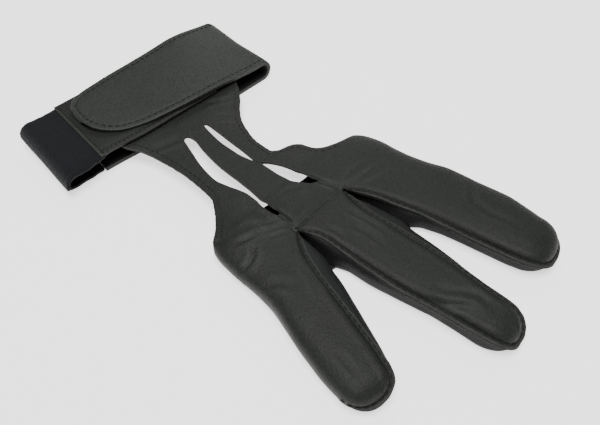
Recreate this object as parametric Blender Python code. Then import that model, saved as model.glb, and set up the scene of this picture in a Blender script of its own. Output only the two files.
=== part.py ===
"""Three-finger leather glove, lying palm down with its wrist strap closed.

The fingers point to -Y and the wrist is at +Y. The glove rests on z = 0.
Every piece is a wall of leather or elastic between an outer and an inner net of points.
"""

import math

import bmesh
import bpy
from mathutils import Vector

MM = 0.001

# Walls and clearances.
leather_thickness = 1.2 * MM
elastic_thickness = 1.3 * MM
strap_thickness = 1.8 * MM
clearance = 0.3 * MM

# Heights.
wrist_opening = 4.6 * MM
knuckle_rise = 1.5 * MM
side_seam_height = 3.9 * MM

# Fingers. A turn is the finger's lean in degrees, positive towards +X.
short_finger_width = 25.0 * MM
short_finger_length = 61.0 * MM
short_finger_turn = -15.3
middle_finger_width = 26.0 * MM
middle_finger_length = 79.0 * MM
middle_finger_turn = 2.4
broad_finger_width = 31.0 * MM
broad_finger_length = 73.2 * MM
broad_finger_turn = 8.2
crotch_gap = 0.7 * MM

# Palm, back and wrist.
palm_depth = 18.5 * MM
panel_length = 74.0 * MM
panel_under_strap = 26.0 * MM
strap_width = 39.0 * MM
strap_reach = 102.5 * MM
strap_shift = -3.9 * MM
strap_tilt = -1.6
fold_lean = 5.7
elastic_reach = 73.5 * MM
floor_join_reach = 17.5 * MM
tab_reach = 82.5 * MM

# Sizes that follow from the ones above.
panel_top = strap_thickness + wrist_opening + leather_thickness
finger_height = panel_top + knuckle_rise
elastic_top = panel_top + clearance + elastic_thickness
tab_top = elastic_top + clearance + strap_thickness
strap_turn_top = panel_top + clearance + strap_thickness
foot_level = leather_thickness + clearance

# How each finger's outline, seams and squareness run from its base (0) to its tip (1).
# left, right: half widths as shares of the finger's width. turn: share of the finger's turn.
# seam_left, seam_right: the top seam's inset as a share of the width. square: 0 is round, 1 is boxy.
SHORT_FINGER = (
    dict(along=0.00, left=0.500, right=0.500, turn=0.0, seam_left=0.01, seam_right=0.01, square=1.0),
    dict(along=0.13, left=0.435, right=0.575, turn=0.5, seam_left=0.01, seam_right=0.22, square=0.35),
    dict(along=0.30, left=0.390, right=0.610, turn=1.0, seam_left=0.01, seam_right=0.29, square=0.0),
    dict(along=0.50, left=0.395, right=0.560, turn=1.0, seam_left=0.01, seam_right=0.24, square=0.0),
    dict(along=0.70, left=0.385, right=0.495, turn=1.0, seam_left=0.01, seam_right=0.18, square=0.0),
    dict(along=0.85, left=0.350, right=0.430, turn=1.0, seam_left=0.01, seam_right=0.13, square=0.0),
    dict(along=1.00, left=0.150, right=0.250, turn=1.0, seam_left=0.01, seam_right=0.10, square=0.0),
)
MIDDLE_FINGER = (
    dict(along=0.00, left=0.465, right=0.465, turn=0.0, seam_left=0.01, seam_right=0.01, square=1.0),
    dict(along=0.10, left=0.455, right=0.530, turn=0.6, seam_left=0.12, seam_right=0.14, square=0.5),
    dict(along=0.20, left=0.445, right=0.590, turn=1.0, seam_left=0.11, seam_right=0.23, square=0.1),
    dict(along=0.35, left=0.450, right=0.620, turn=1.0, seam_left=0.11, seam_right=0.24, square=0.0),
    dict(along=0.50, left=0.405, right=0.585, turn=1.0, seam_left=0.07, seam_right=0.21, square=0.0),
    dict(along=0.68, left=0.335, right=0.500, turn=1.0, seam_left=0.05, seam_right=0.15, square=0.0),
    dict(along=0.80, left=0.320, right=0.445, turn=1.0, seam_left=0.05, seam_right=0.14, square=0.0),
    dict(along=0.88, left=0.315, right=0.420, turn=1.0, seam_left=0.06, seam_right=0.13, square=0.0),
    dict(along=1.00, left=0.160, right=0.220, turn=1.0, seam_left=0.06, seam_right=0.10, square=0.0),
)
BROAD_FINGER = (
    dict(along=0.00, left=0.530, right=0.490, turn=0.0, seam_left=0.01, seam_right=0.01, square=1.0),
    dict(along=0.10, left=0.470, right=0.475, turn=0.5, seam_left=0.05, seam_right=0.01, square=0.5),
    dict(along=0.20, left=0.430, right=0.485, turn=1.0, seam_left=0.06, seam_right=0.01, square=0.1),
    dict(along=0.35, left=0.420, right=0.550, turn=1.0, seam_left=0.09, seam_right=0.01, square=0.0),
    dict(along=0.50, left=0.370, right=0.535, turn=1.0, seam_left=0.05, seam_right=0.01, square=0.0),
    dict(along=0.65, left=0.360, right=0.525, turn=1.0, seam_left=0.04, seam_right=0.01, square=0.0),
    dict(along=0.80, left=0.360, right=0.450, turn=1.0, seam_left=0.04, seam_right=0.01, square=0.0),
    dict(along=0.88, left=0.340, right=0.390, turn=1.0, seam_left=0.04, seam_right=0.01, square=0.0),
    dict(along=1.00, left=0.170, right=0.210, turn=1.0, seam_left=0.04, seam_right=0.01, square=0.0),
)

# The back panel across the hand, from the wrist (up = 1) to the knuckles.
# up: share of panel_length. The other columns are shares of the knuckles' width from their middle.
# open: 1 where both slits are open, 2 where only the one at the left is, 0 where neither is.
PANEL = (
    dict(up=1.000, left=-0.385, a_left=-0.148, a_right=-0.128, b_left=-0.010, b_right=0.008, right=0.343, open=0),
    dict(up=0.900, left=-0.338, a_left=-0.148, a_right=-0.122, b_left=-0.016, b_right=0.000, right=0.300, open=0),
    dict(up=0.838, left=-0.322, a_left=-0.151, a_right=-0.119, b_left=-0.018, b_right=-0.002, right=0.258, open=0),
    dict(up=0.818, left=-0.320, a_left=-0.157, a_right=-0.117, b_left=-0.021, b_right=-0.004, right=0.238, open=1),
    dict(up=0.766, left=-0.316, a_left=-0.167, a_right=-0.117, b_left=-0.030, b_right=-0.006, right=0.194, open=1),
    dict(up=0.689, left=-0.311, a_left=-0.191, a_right=-0.130, b_left=-0.037, b_right=-0.010, right=0.144, open=1),
    dict(up=0.608, left=-0.309, a_left=-0.208, a_right=-0.142, b_left=-0.038, b_right=-0.011, right=0.116, open=1),
    dict(up=0.514, left=-0.309, a_left=-0.219, a_right=-0.155, b_left=-0.039, b_right=-0.014, right=0.093, open=1),
    dict(up=0.419, left=-0.310, a_left=-0.218, a_right=-0.158, b_left=-0.030, b_right=-0.018, right=0.085, open=1),
    dict(up=0.385, left=-0.313, a_left=-0.209, a_right=-0.160, b_left=-0.021, b_right=-0.008, right=0.110, open=1),
    dict(up=0.365, left=-0.322, a_left=-0.205, a_right=-0.162, b_left=-0.014, b_right=0.012, right=0.172, open=1),
    dict(up=0.324, left=-0.344, a_left=-0.193, a_right=-0.163, b_left=-0.010, b_right=0.030, right=0.200, open=1),
    dict(up=0.270, left=-0.385, a_left=-0.189, a_right=-0.167, b_left=-0.008, b_right=0.048, right=0.221, open=1),
    dict(up=0.215, left=-0.440, a_left=-0.184, a_right=-0.170, b_left=0.012, b_right=0.057, right=0.262, open=1),
)
# The knuckles, where the panel folds down on both sides to the palm. down: share of palm_depth.
KNUCKLES = (
    dict(down=0.30, left=-0.485, a_left=-0.184, a_right=-0.172, b_left=0.036, b_right=0.057, right=0.455, open=2),
    dict(down=0.62, left=-0.497, a_left=-0.189, a_right=-0.177, b_left=0.050, b_right=0.062, right=0.482, open=0),
)

# The tab's rounded end. back: share of the strap's width from the end. low, high: its edges across that width.
TAB_END = (
    dict(back=1.30, low=0.00, high=1.00),
    dict(back=0.82, low=0.06, high=1.00),
    dict(back=0.54, low=0.12, high=1.00),
    dict(back=0.31, low=0.21, high=0.97),
    dict(back=0.17, low=0.30, high=0.92),
    dict(back=0.08, low=0.38, high=0.86),
    dict(back=0.02, low=0.47, high=0.79),
    dict(back=0.00, low=0.54, high=0.72),
)

FINGER_STEPS = (0.0, 0.06, 0.13, 0.21, 0.30, 0.40, 0.50, 0.60, 0.70, 0.79, 0.86)
TIP_TURNS = (28.0, 52.0, 74.0, 90.0)
TIP_START = 0.86
SIDE_SQUARE = 2.6
BOXY = 12.0
FLOOR_SQUARE = 4.0


def read(table, key, column, at):
    """The named column of a table at a place between its rows, eased between them."""
    rows = sorted(table, key=lambda row: row[key])
    if at <= rows[0][key]:
        return rows[0][column]
    for low, high in zip(rows, rows[1:]):
        if at <= high[key]:
            share = (at - low[key]) / (high[key] - low[key])
            return low[column] + (high[column] - low[column]) * share
    return rows[-1][column]


def section(centre, across, left, right, height, **more):
    """One cross-section of the flattened tube: its middle on the floor, its direction and its shape."""
    row = dict(centre=centre, across=across, left=left, right=right, height=height)
    row.update(shrink=1.0, seam_left=0.0, seam_right=0.0, lean=0.0, inner=centre)
    row.update(square_left=SIDE_SQUARE, square_right=SIDE_SQUARE)
    row.update(floor_left=FLOOR_SQUARE, floor_right=FLOOR_SQUARE)
    row.update(more)
    return row


def skin(row, angle, wall):
    """A point of the section, outside when wall is 0. The angle is 0 at the right side and 90 degrees on top."""
    cosine, sine = math.cos(angle), math.sin(angle)
    side = "right" if cosine >= 0 else "left"
    half = row[side] - wall
    rim, part = side_seam_height, clearance / 2
    if sine >= 0:
        power = 2 / row["square_" + side]
        z = rim + part + (row["height"] - wall - rim - part) * row["shrink"] * sine**power
    else:
        power = 2 / row["floor_" + side]
        z = rim - part - (rim - part - wall) * row["shrink"] * (-sine) ** power
    along = math.copysign(half * abs(cosine) ** power, cosine)
    centre = row["inner"] if wall else row["centre"]
    point = centre + row["across"] * along
    return Vector((point.x, point.y + (row["lean"] if wall else 0.0), z))


def mirrored(side, angle):
    return angle if side == "right" else math.pi - angle


def seam_angle(row, side, shift):
    """Where the top seam runs on this side, moved by shift towards the crown."""
    half = row[side]
    inset = max(row["seam_" + side] / half, 0.004) * row["shrink"]
    if inset <= 0:
        return mirrored(side, 0.0)
    angle = math.acos((1 - inset) ** (row["square_" + side] / 2))
    step = 1e-3
    ahead = skin(row, mirrored(side, angle + step), 0) - skin(row, mirrored(side, angle), 0)
    return mirrored(side, max(0.0, angle + shift / max(ahead.length / step, 1e-5)))


def foot_angle(row, side, shift):
    """Where the side meets the palm's edge, moved by shift upwards."""
    low = side_seam_height - clearance / 2
    level = side_seam_height - (side_seam_height - foot_level) * row["shrink"] + shift
    depth = low * row["shrink"]
    if level >= low or depth <= 0:
        return mirrored(side, 0.0)
    share = min(1.0, (low - level) / depth)
    return mirrored(side, -math.asin(share ** (row["floor_" + side] / 2)))


def walk(row, start, end, count):
    """Angles from start to end that part the outside into equal lengths."""
    fine = 60
    angles = [start + (end - start) * i / fine for i in range(fine + 1)]
    points = [skin(row, angle, 0) for angle in angles]
    reach = [0.0]
    for before, after in zip(points, points[1:]):
        reach.append(reach[-1] + (after - before).length)
    found = []
    for i in range(count):
        want = reach[-1] * i / (count - 1)
        j = max(k for k in range(fine + 1) if reach[k] <= want + 1e-12)
        j = min(j, fine - 1)
        share = (want - reach[j]) / max(reach[j + 1] - reach[j], 1e-12)
        found.append(angles[j] + (angles[j + 1] - angles[j]) * share)
    return found


def finger_rows(finger):
    """The finger's sections from its base to its rounded tip."""
    turn = math.radians(finger["turn"])
    axis = Vector((math.sin(turn), -math.cos(turn)))
    table, width = finger["table"], finger["width"]
    rows = []
    for turned in [0.0] * len(FINGER_STEPS) + [math.radians(t) for t in TIP_TURNS]:
        if len(rows) < len(FINGER_STEPS):
            along = FINGER_STEPS[len(rows)]
        else:
            along = TIP_START + (1 - TIP_START) * math.sin(turned)
        shrink = math.cos(turned) if turned < math.radians(89) else 0.0
        lean = turn * read(table, "along", "turn", along)
        boxy = read(table, "along", "square", along)
        halves = {}
        for side in ("left", "right"):
            body = read(table, "along", side, min(along, TIP_START))
            end = read(table, "along", side, 1.0)
            halves[side] = width * (end + (body - end) * shrink)
        square = SIDE_SQUARE + (BOXY - SIDE_SQUARE) * boxy
        floor = FLOOR_SQUARE + (BOXY - FLOOR_SQUARE) * boxy
        squares = {}
        for side in ("left", "right"):
            is_inner = side in finger["inner"]
            squares["square_" + side] = square if is_inner else SIDE_SQUARE
            squares["floor_" + side] = floor if is_inner else FLOOR_SQUARE
            squares["seam_" + side] = width * read(table, "along", "seam_" + side, along)
        rows.append(
            section(
                finger["base"] + axis * finger["length"] * along,
                Vector((math.cos(lean), math.sin(lean))),
                halves["left"],
                halves["right"],
                finger_height,
                inner=finger["base"] + axis * (finger["length"] - leather_thickness) * along,
                shrink=shrink,
                **squares,
            )
        )
    return rows


def sheet(name, outer, inner, gaps, material):
    """One closed wall between two nets of points, less the cells listed in gaps."""
    rows, columns = len(outer), len(outer[0])
    bm = bmesh.new()
    bmesh.ops.create_grid(bm, x_segments=columns - 1, y_segments=rows - 1, size=0.5)

    def place(vert):
        return round((vert.co.y + 0.5) * (rows - 1)), round((vert.co.x + 0.5) * (columns - 1))

    def cell(face):
        places = [place(vert) for vert in face.verts]
        return min(p[0] for p in places), min(p[1] for p in places)

    cut = [face for face in bm.faces if cell(face) in gaps]
    bmesh.ops.delete(bm, geom=cut, context="FACES")
    outside = {vert: place(vert) for vert in bm.verts}
    bmesh.ops.extrude_face_region(bm, geom=list(bm.faces), use_keep_orig=True)
    inside = {vert: place(vert) for vert in bm.verts if vert not in outside}
    for vert, (row, column) in outside.items():
        vert.co = outer[row][column]
    for vert, (row, column) in inside.items():
        vert.co = inner[row][column]
    bmesh.ops.recalc_face_normals(bm, faces=bm.faces)
    if bm.calc_volume(signed=True) < 0:
        bmesh.ops.reverse_faces(bm, faces=bm.faces)
    mesh = bpy.data.meshes.new(name)
    bm.to_mesh(mesh)
    bm.free()
    mesh.materials.append(material)
    mesh.shade_smooth()
    mesh.set_sharp_from_angle(angle=math.radians(40))
    piece = bpy.data.objects.new(name, mesh)
    bpy.context.scene.collection.objects.link(piece)
    return piece


def nets(rows, columns_of):
    """The outer and inner nets of the points that columns_of names for each section."""
    outer = []
    inner = []
    for row in rows:
        places = columns_of(row)
        outer.append([skin(at, angle, 0) for at, angle in places])
        inner.append([skin(at, angle, leather_thickness) for at, angle in places])
    return outer, inner


def surface(name, colour, roughness):
    """A plain material with the piece's colour and shine."""
    material = bpy.data.materials.new(name)
    material.use_nodes = True
    shader = material.node_tree.nodes["Principled BSDF"]
    shader.inputs["Base Color"].default_value = (*colour, 1.0)
    shader.inputs["Roughness"].default_value = roughness
    shader.inputs["Metallic"].default_value = 0.0
    material.diffuse_color = (*colour, 1.0)
    return material


for leftover in list(bpy.data.objects):
    bpy.data.objects.remove(leftover, do_unlink=True)

back_leather = surface("black_back_leather", (0.030, 0.031, 0.029), 0.52)
palm_leather = surface("black_palm_leather", (0.024, 0.024, 0.023), 0.60)
finger_leather = surface("black_finger_leather", (0.029, 0.030, 0.028), 0.50)
side_leather = surface("black_side_leather", (0.022, 0.022, 0.022), 0.58)
strap_leather = surface("black_strap_leather", (0.036, 0.038, 0.034), 0.44)
elastic_weave = surface("black_ribbed_elastic", (0.018, 0.019, 0.022), 0.88)

# Where the three fingers start, side by side, with a crotch between neighbours.
base_widths = [
    short_finger_width * (SHORT_FINGER[0]["left"] + SHORT_FINGER[0]["right"]),
    middle_finger_width * (MIDDLE_FINGER[0]["left"] + MIDDLE_FINGER[0]["right"]),
    broad_finger_width * (BROAD_FINGER[0]["left"] + BROAD_FINGER[0]["right"]),
]
knuckle_width = sum(base_widths) + 2 * crotch_gap
base_seam_inset = 0.02 * middle_finger_width
crotch_edge = -(crotch_gap / 2 + base_seam_inset + 2 * clearance)
x_short = -knuckle_width / 2 + short_finger_width * SHORT_FINGER[0]["left"]
x_middle = -knuckle_width / 2 + base_widths[0] + crotch_gap + middle_finger_width * MIDDLE_FINGER[0]["left"]
x_broad = knuckle_width / 2 - broad_finger_width * BROAD_FINGER[0]["right"]
base_line = crotch_edge * 2

short_finger = dict(
    table=SHORT_FINGER,
    width=short_finger_width,
    length=short_finger_length,
    turn=short_finger_turn,
    base=Vector((x_short, base_line)),
    inner=("right",),
)
middle_finger = dict(
    table=MIDDLE_FINGER,
    width=middle_finger_width,
    length=middle_finger_length,
    turn=middle_finger_turn,
    base=Vector((x_middle, base_line)),
    inner=("left", "right"),
)
broad_finger = dict(
    table=BROAD_FINGER,
    width=broad_finger_width,
    length=broad_finger_length,
    turn=broad_finger_turn,
    base=Vector((x_broad, base_line)),
    inner=("left",),
)
short_rows = finger_rows(short_finger)
middle_rows = finger_rows(middle_finger)
broad_rows = finger_rows(broad_finger)


def knuckle_section(left, right, y, height, inner, lean=0.0):
    """A section of the knuckle pocket between two lines, boxy on its inner sides."""
    middle = Vector(((left + right) / 2, y))
    half = (right - left) / 2
    boxy = {}
    for side in ("left", "right"):
        boxy["square_" + side] = BOXY if side in inner else SIDE_SQUARE
        boxy["floor_" + side] = BOXY if side in inner else FLOOR_SQUARE
        boxy["seam_" + side] = base_seam_inset
    return section(middle, Vector((1.0, 0.0)), half, half, height, lean=lean, **boxy)


def knuckle_triple(y, height, row, lean=0.0):
    """The three sections of one knuckle row: short side, middle and broad side."""
    lines = {name: row[name] * knuckle_width for name in row if name not in ("down", "open")}
    return (
        knuckle_section(lines["left"], lines["a_left"], y, height, ("right",), lean),
        knuckle_section(lines["a_right"], lines["b_left"], y, height, ("left", "right"), lean),
        knuckle_section(lines["b_right"], lines["right"], y, height, ("left",), lean),
    )


def crotch_triple(y, lean):
    """The row at the crotches, in line with the three finger bases."""
    pocket = []
    for rows, inner in ((short_rows, ("right",)), (middle_rows, ("left", "right")), (broad_rows, ("left",))):
        at = rows[0]
        left = at["centre"].x - at["left"]
        right = at["centre"].x + at["right"]
        pocket.append(knuckle_section(left, right, y, finger_height, inner, lean))
    return tuple(pocket)


def knuckle_height(share):
    """The top of the pocket, from the panel's height at its mouth to the fingers' height at the crotches."""
    return panel_top + (finger_height - panel_top) * math.sin(math.pi / 2 * share)


# Columns across: the outer side from its foot to its shoulder, then the top to the inner seam.
side_count = 5
top_count = 4


def outer_side_top(row, outer, inner):
    """Angles over a finger's top, from the foot of its outer side to its inner seam."""
    foot = foot_angle(row, outer, clearance / 2)
    shoulder = mirrored(outer, math.radians(52))
    seam = seam_angle(row, inner, clearance / 2)
    down = walk(row, foot, shoulder, side_count)
    return down + walk(row, shoulder, seam, top_count)[1:]


def back_columns(triple):
    """The back panel's points over one knuckle row."""
    short, middle, broad = triple
    places = [(short, angle) for angle in outer_side_top(short, "left", "right")]
    ends = seam_angle(middle, "left", clearance / 2), seam_angle(middle, "right", clearance / 2)
    places += [(middle, angle) for angle in walk(middle, *ends, 5)]
    places += [(broad, angle) for angle in reversed(outer_side_top(broad, "right", "left"))]
    return places


def flat_row(row):
    """The back panel's points over one row of strips, before it folds down at the sides."""
    y = row["up"] * panel_length
    lines = {name: row[name] * knuckle_width for name in row if name not in ("up", "open")}
    spans = (
        (lines["left"], lines["a_left"], top_count),
        (lines["a_right"], lines["b_left"], 5),
        (lines["b_right"], lines["right"], top_count),
    )
    points = [Vector((lines["left"], y, panel_top))] * (side_count - 1)
    for low, high, count in spans:
        points += [Vector((low + (high - low) * i / (count - 1), y, panel_top)) for i in range(count)]
    points += [Vector((lines["right"], y, panel_top))] * (side_count - 1)
    return points


# The back panel, with the tops and outer sides of the outer fingers.
top_row = dict(PANEL[0], up=PANEL[0]["up"] + panel_under_strap / panel_length)
panel_rows = [top_row] + list(PANEL)
outer_net = [flat_row(row) for row in panel_rows]
inner_net = [[point - Vector((0, 0, leather_thickness)) for point in row] for row in outer_net]
open_rows = [row["open"] for row in panel_rows]
for knuckle in KNUCKLES:
    triple = knuckle_triple(palm_depth * (1 - knuckle["down"]), knuckle_height(knuckle["down"]), knuckle)
    for net, wall in ((outer_net, 0), (inner_net, leather_thickness)):
        net.append([skin(at, angle, wall) for at, angle in back_columns(triple)])
    open_rows.append(knuckle["open"])
crotch = crotch_triple(crotch_edge, leather_thickness)
for net, wall in ((outer_net, 0), (inner_net, leather_thickness)):
    net.append([skin(at, angle, wall) for at, angle in back_columns(crotch)])
open_rows.append(0)
knuckle_end = len(outer_net)
short_columns = side_count - 1 + top_count
for short, broad in zip(short_rows, broad_rows):
    left_side = outer_side_top(short, "left", "right")
    right_side = list(reversed(outer_side_top(broad, "right", "left")))
    for net, wall in ((outer_net, 0), (inner_net, leather_thickness)):
        points = [skin(short, angle, wall) for angle in left_side]
        points += [Vector(net[knuckle_end - 1][short_columns + i]) for i in range(5)]
        points += [skin(broad, angle, wall) for angle in right_side]
        net.append(points)
    open_rows.append(3)

link_a = short_columns - 1
link_b = link_a + 5
total_columns = len(outer_net[0])
gaps = set()
for row in range(len(outer_net) - 1):
    is_flat = row < len(panel_rows)
    if is_flat:
        gaps.update((row, column) for column in range(side_count - 1))
        gaps.update((row, column) for column in range(total_columns - side_count, total_columns - 1))
    if row >= knuckle_end - 1:
        gaps.update((row, column) for column in range(link_a, link_b + 1))
    if open_rows[row] and open_rows[row + 1] or (open_rows[row] in (1, 2) and open_rows[row + 1] == 0):
        gaps.add((row, link_a))
        if open_rows[row] == 1:
            gaps.add((row, link_b))
sheet("back_panel", outer_net, inner_net, gaps, back_leather)

# The middle finger's top, from the seam at its base to its tip.
base_row = crotch[1].copy()
base_row["centre"] = Vector((base_row["centre"].x, crotch_edge - clearance))
base_row["inner"] = base_row["centre"]


def middle_top(row):
    ends = seam_angle(row, "left", clearance / 2), seam_angle(row, "right", clearance / 2)
    return [(row, angle) for angle in walk(row, *ends, 7)]


sheet("middle_finger_top", *nets([base_row] + middle_rows, middle_top), set(), finger_leather)

# The palm: the undersides of the fingers and the short pocket that joins them.
floor_count = 7


def floor_span(row, from_foot, to_foot):
    """Angles under a section, from its left edge to its right edge."""
    if from_foot:
        start = foot_angle(row, "left", -clearance / 2)
    else:
        start = 2 * math.pi - seam_angle(row, "left", clearance / 2)
    if to_foot:
        end = foot_angle(row, "right", -clearance / 2) + 2 * math.pi
    else:
        end = 2 * math.pi - seam_angle(row, "right", clearance / 2)
    return [(row, angle) for angle in walk(row, start, end, floor_count)]


def palm_pocket(triple):
    short, middle, broad = triple
    return floor_span(short, True, False) + floor_span(middle, False, False) + floor_span(broad, False, True)


palm_edge = dict(KNUCKLES[0], left=KNUCKLES[0]["left"] + 0.02, right=KNUCKLES[0]["right"] - 0.02)
palm_triples = [knuckle_triple(palm_depth * 0.97, panel_top, palm_edge)]
for knuckle in KNUCKLES:
    palm_triples.append(knuckle_triple(palm_depth * (1 - knuckle["down"]), knuckle_height(knuckle["down"]), knuckle))
palm_triples.append(crotch)
palm_outer = [[skin(at, angle, 0) for at, angle in palm_pocket(triple)] for triple in palm_triples]
palm_inner = [[skin(at, angle, leather_thickness) for at, angle in palm_pocket(triple)] for triple in palm_triples]
for trio in zip(short_rows, middle_rows, broad_rows):
    places = []
    for row in trio:
        places += floor_span(row, True, True)
    palm_outer.append([skin(at, angle, 0) for at, angle in places])
    palm_inner.append([skin(at, angle, leather_thickness) for at, angle in places])
palm_gaps = set()
for row in range(len(palm_triples) - 1, len(palm_outer) - 1):
    palm_gaps.update({(row, floor_count - 1), (row, 2 * floor_count - 1)})
sheet("palm_panel", palm_outer, palm_inner, palm_gaps, palm_leather)


def side_strip(name, left_rows, right_rows, count=5, bends=5):
    """The strip that runs up one finger's side, round the crotch and down its neighbour's side."""
    legs = []
    for rows, side in ((left_rows, "right"), (right_rows, "left")):
        leg = []
        for row in rows[:-1]:
            foot = foot_angle(row, side, clearance / 2)
            seam = seam_angle(row, side, -clearance / 2)
            angles = walk(row, foot, seam, count)
            leg.append([[skin(row, angle, wall) for angle in angles] for wall in (0, leather_thickness)])
        legs.append(leg)
    bend = []
    for i in range(1, bends):
        turned = math.pi * i / bends
        pair = []
        for skin_index in (0, 1):
            line = []
            for start, end in zip(legs[0][0][skin_index], legs[1][0][skin_index]):
                centre = (start + end) / 2
                radius = (end - start).length / 2
                around = Vector((-math.cos(turned) * radius, math.sin(turned) * radius, 0))
                line.append(Vector((centre.x, centre.y, start.z)) + around)
            pair.append(line)
        bend.append(pair)
    path = list(reversed(legs[0])) + bend + legs[1]
    return sheet(name, [p[0] for p in path], [p[1] for p in path], set(), side_leather)


side_strip("side_strip_short", short_rows, middle_rows)
side_strip("side_strip_broad", middle_rows, broad_rows)


# The wrist strap. It is drawn as a path in X and Z and swept across its width.
strap_middle_y = panel_length + clearance + strap_width / 2 - 3.0 * MM
strap_left = strap_shift - strap_reach / 2
strap_right = strap_shift + strap_reach / 2


def fold(centre_x, height, wall, side, steps=8):
    """The half turn at one end of the loop, from the floor up to the given height."""
    radius = height / 2
    points = []
    for i in range(steps + 1):
        turned = math.pi * i / steps
        reach = (radius - wall) * math.sin(turned)
        points.append((centre_x + side * reach, radius - (radius - wall) * math.cos(turned)))
    return points


def straight(x_from, x_to, height, steps):
    return [(x_from + (x_to - x_from) * i / steps, height) for i in range(1, steps + 1)]


def spread(path, edges):
    """Sweeps a path across the strap's width, with the strap's tilt and the lean of its folds."""
    tilt, lean = math.tan(math.radians(strap_tilt)), math.tan(math.radians(fold_lean))
    rows = []
    for (x, z), (low, high) in zip(path, edges):
        line = []
        for i in range(5):
            across = strap_width * (low + (high - low) * i / 4 - 0.5)
            line.append(Vector((x + lean * across, strap_middle_y + across + tilt * (x - strap_shift), z)))
        rows.append(line)
    return rows


elastic_turn_x = strap_left + elastic_top / 2
floor_join = strap_left + floor_join_reach
elastic_end = strap_left + elastic_reach


def elastic_path(wall):
    path = [(floor_join, wall)] + straight(floor_join, elastic_turn_x, wall, 2)[:-1]
    path += fold(elastic_turn_x, elastic_top, wall, -1)
    return path + straight(elastic_turn_x, elastic_end, elastic_top - wall, 8)


elastic_outer = elastic_path(0)
full = [(0.0, 1.0)] * len(elastic_outer)
sheet("elastic_band", spread(elastic_outer, full), spread(elastic_path(elastic_thickness), full), set(), elastic_weave)

strap_turn_x = strap_right - strap_turn_top / 2
tab_end = strap_right - tab_reach
tab_step = 2.5 * clearance


def strap_path(wall):
    """The strap from its join under the wrist, round the right end and over the elastic to the tab's end."""
    path = [(floor_join + clearance, wall)] + straight(floor_join + clearance, strap_turn_x, wall, 5)[:-1]
    path += fold(strap_turn_x, strap_turn_top, wall, 1)
    foot_x = elastic_end + strap_width * 0.24
    head_x = elastic_end + tab_step + clearance
    path += straight(strap_turn_x, foot_x, strap_turn_top - wall, 2)
    path.append((head_x, tab_top - wall))
    return path


def tab_path(wall):
    return [(tab_end + strap_width * row["back"], tab_top - wall) for row in TAB_END]


strap_outer = strap_path(0) + tab_path(0)
strap_inner = strap_path(strap_thickness) + tab_path(strap_thickness)
strap_edges = [(0.0, 1.0)] * (len(strap_outer) - len(TAB_END)) + [(row["low"], row["high"]) for row in TAB_END]
sheet("leather_strap", spread(strap_outer, strap_edges), spread(strap_inner, strap_edges), set(), strap_leather)

# The glove's box is centred over the origin, with its lowest point on the floor.
pieces = list(bpy.context.scene.collection.objects)
corners = [vert.co for piece in pieces for vert in piece.data.vertices]
low = Vector([min(co[i] for co in corners) for i in range(3)])
high = Vector([max(co[i] for co in corners) for i in range(3)])
to_origin = Vector((-(low.x + high.x) / 2, -(low.y + high.y) / 2, -low.z))
for piece in pieces:
    for vert in piece.data.vertices:
        vert.co += to_origin
    print(piece.name, "is", [round(size / MM, 1) for size in piece.dimensions], "mm")
print("moved to the origin by", [round(size / MM, 2) for size in to_origin], "mm")
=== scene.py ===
# %% [markdown]
# # A black three-finger leather glove
# The glove covers three fingers, leaves the palm open and closes round the wrist with a strap.
# It lies palm down on a lit white table, seen from above its short outer finger.
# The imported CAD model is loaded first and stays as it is. Every visible piece below is sewn over it.

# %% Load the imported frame
import math
import random
from bisect import bisect_right

import bmesh
import bpy
from mathutils import Matrix, Vector, noise
from mathutils.bvhtree import BVHTree

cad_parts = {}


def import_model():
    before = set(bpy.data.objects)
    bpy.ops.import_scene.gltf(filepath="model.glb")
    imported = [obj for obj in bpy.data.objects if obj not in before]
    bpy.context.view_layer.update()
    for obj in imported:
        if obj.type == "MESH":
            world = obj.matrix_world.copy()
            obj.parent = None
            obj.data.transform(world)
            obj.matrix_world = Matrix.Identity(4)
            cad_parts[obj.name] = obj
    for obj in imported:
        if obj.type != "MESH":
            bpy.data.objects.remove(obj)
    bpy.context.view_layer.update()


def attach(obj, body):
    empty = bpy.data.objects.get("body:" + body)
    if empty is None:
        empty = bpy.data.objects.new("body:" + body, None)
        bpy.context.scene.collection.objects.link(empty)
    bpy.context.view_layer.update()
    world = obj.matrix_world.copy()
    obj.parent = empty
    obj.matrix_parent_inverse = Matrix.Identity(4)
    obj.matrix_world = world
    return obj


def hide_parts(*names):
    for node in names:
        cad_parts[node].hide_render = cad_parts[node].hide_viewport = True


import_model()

# %% [markdown]
# ## Units and sizes
# A pattern cutter works in millimetres, so the glove is drawn in millimetres here, with the middle of the
# knuckles at x = 0, the crotches between the fingers near y = 0 and the wrist towards +Y.
# One shift and one scale at the end of each piece bring it to the place of its CAD solid.

# %% Sizes of the glove in millimetres
MM = 0.001
TO_ORIGIN = Vector((3.9, -14.84, 0.0))
leather_wall, strap_wall, elastic_wall, gap = 1.1, 1.8, 1.3, 0.3
panel_top, finger_height, side_seam_height, foot_level = 7.6, 9.1, 3.9, 0.6
crotch_y, base_y = -3.6, -5.0
SIDE_SQUARE, BOXY, FLOOR_SQUARE, TIP_START = 2.6, 12.0, 4.0, 0.86
dice = random.Random(7)


def world(point):
    """A drawn point in millimetres as Blender's metres."""
    return (point + TO_ORIGIN) * MM


print("wall of the glove leather:", leather_wall, "mm")

# %% [markdown]
# ## Outlines as short tables
# Each table has a row for a place along the piece and named columns for its edges.
# A glove's outline has no corners between those places, so a smooth curve is drawn through each column.
# Its slopes are kept monotone, because a plain spline would swing past the edges that the table gives.

# %% A smooth curve through a table's column
known_curves = {}


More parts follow.
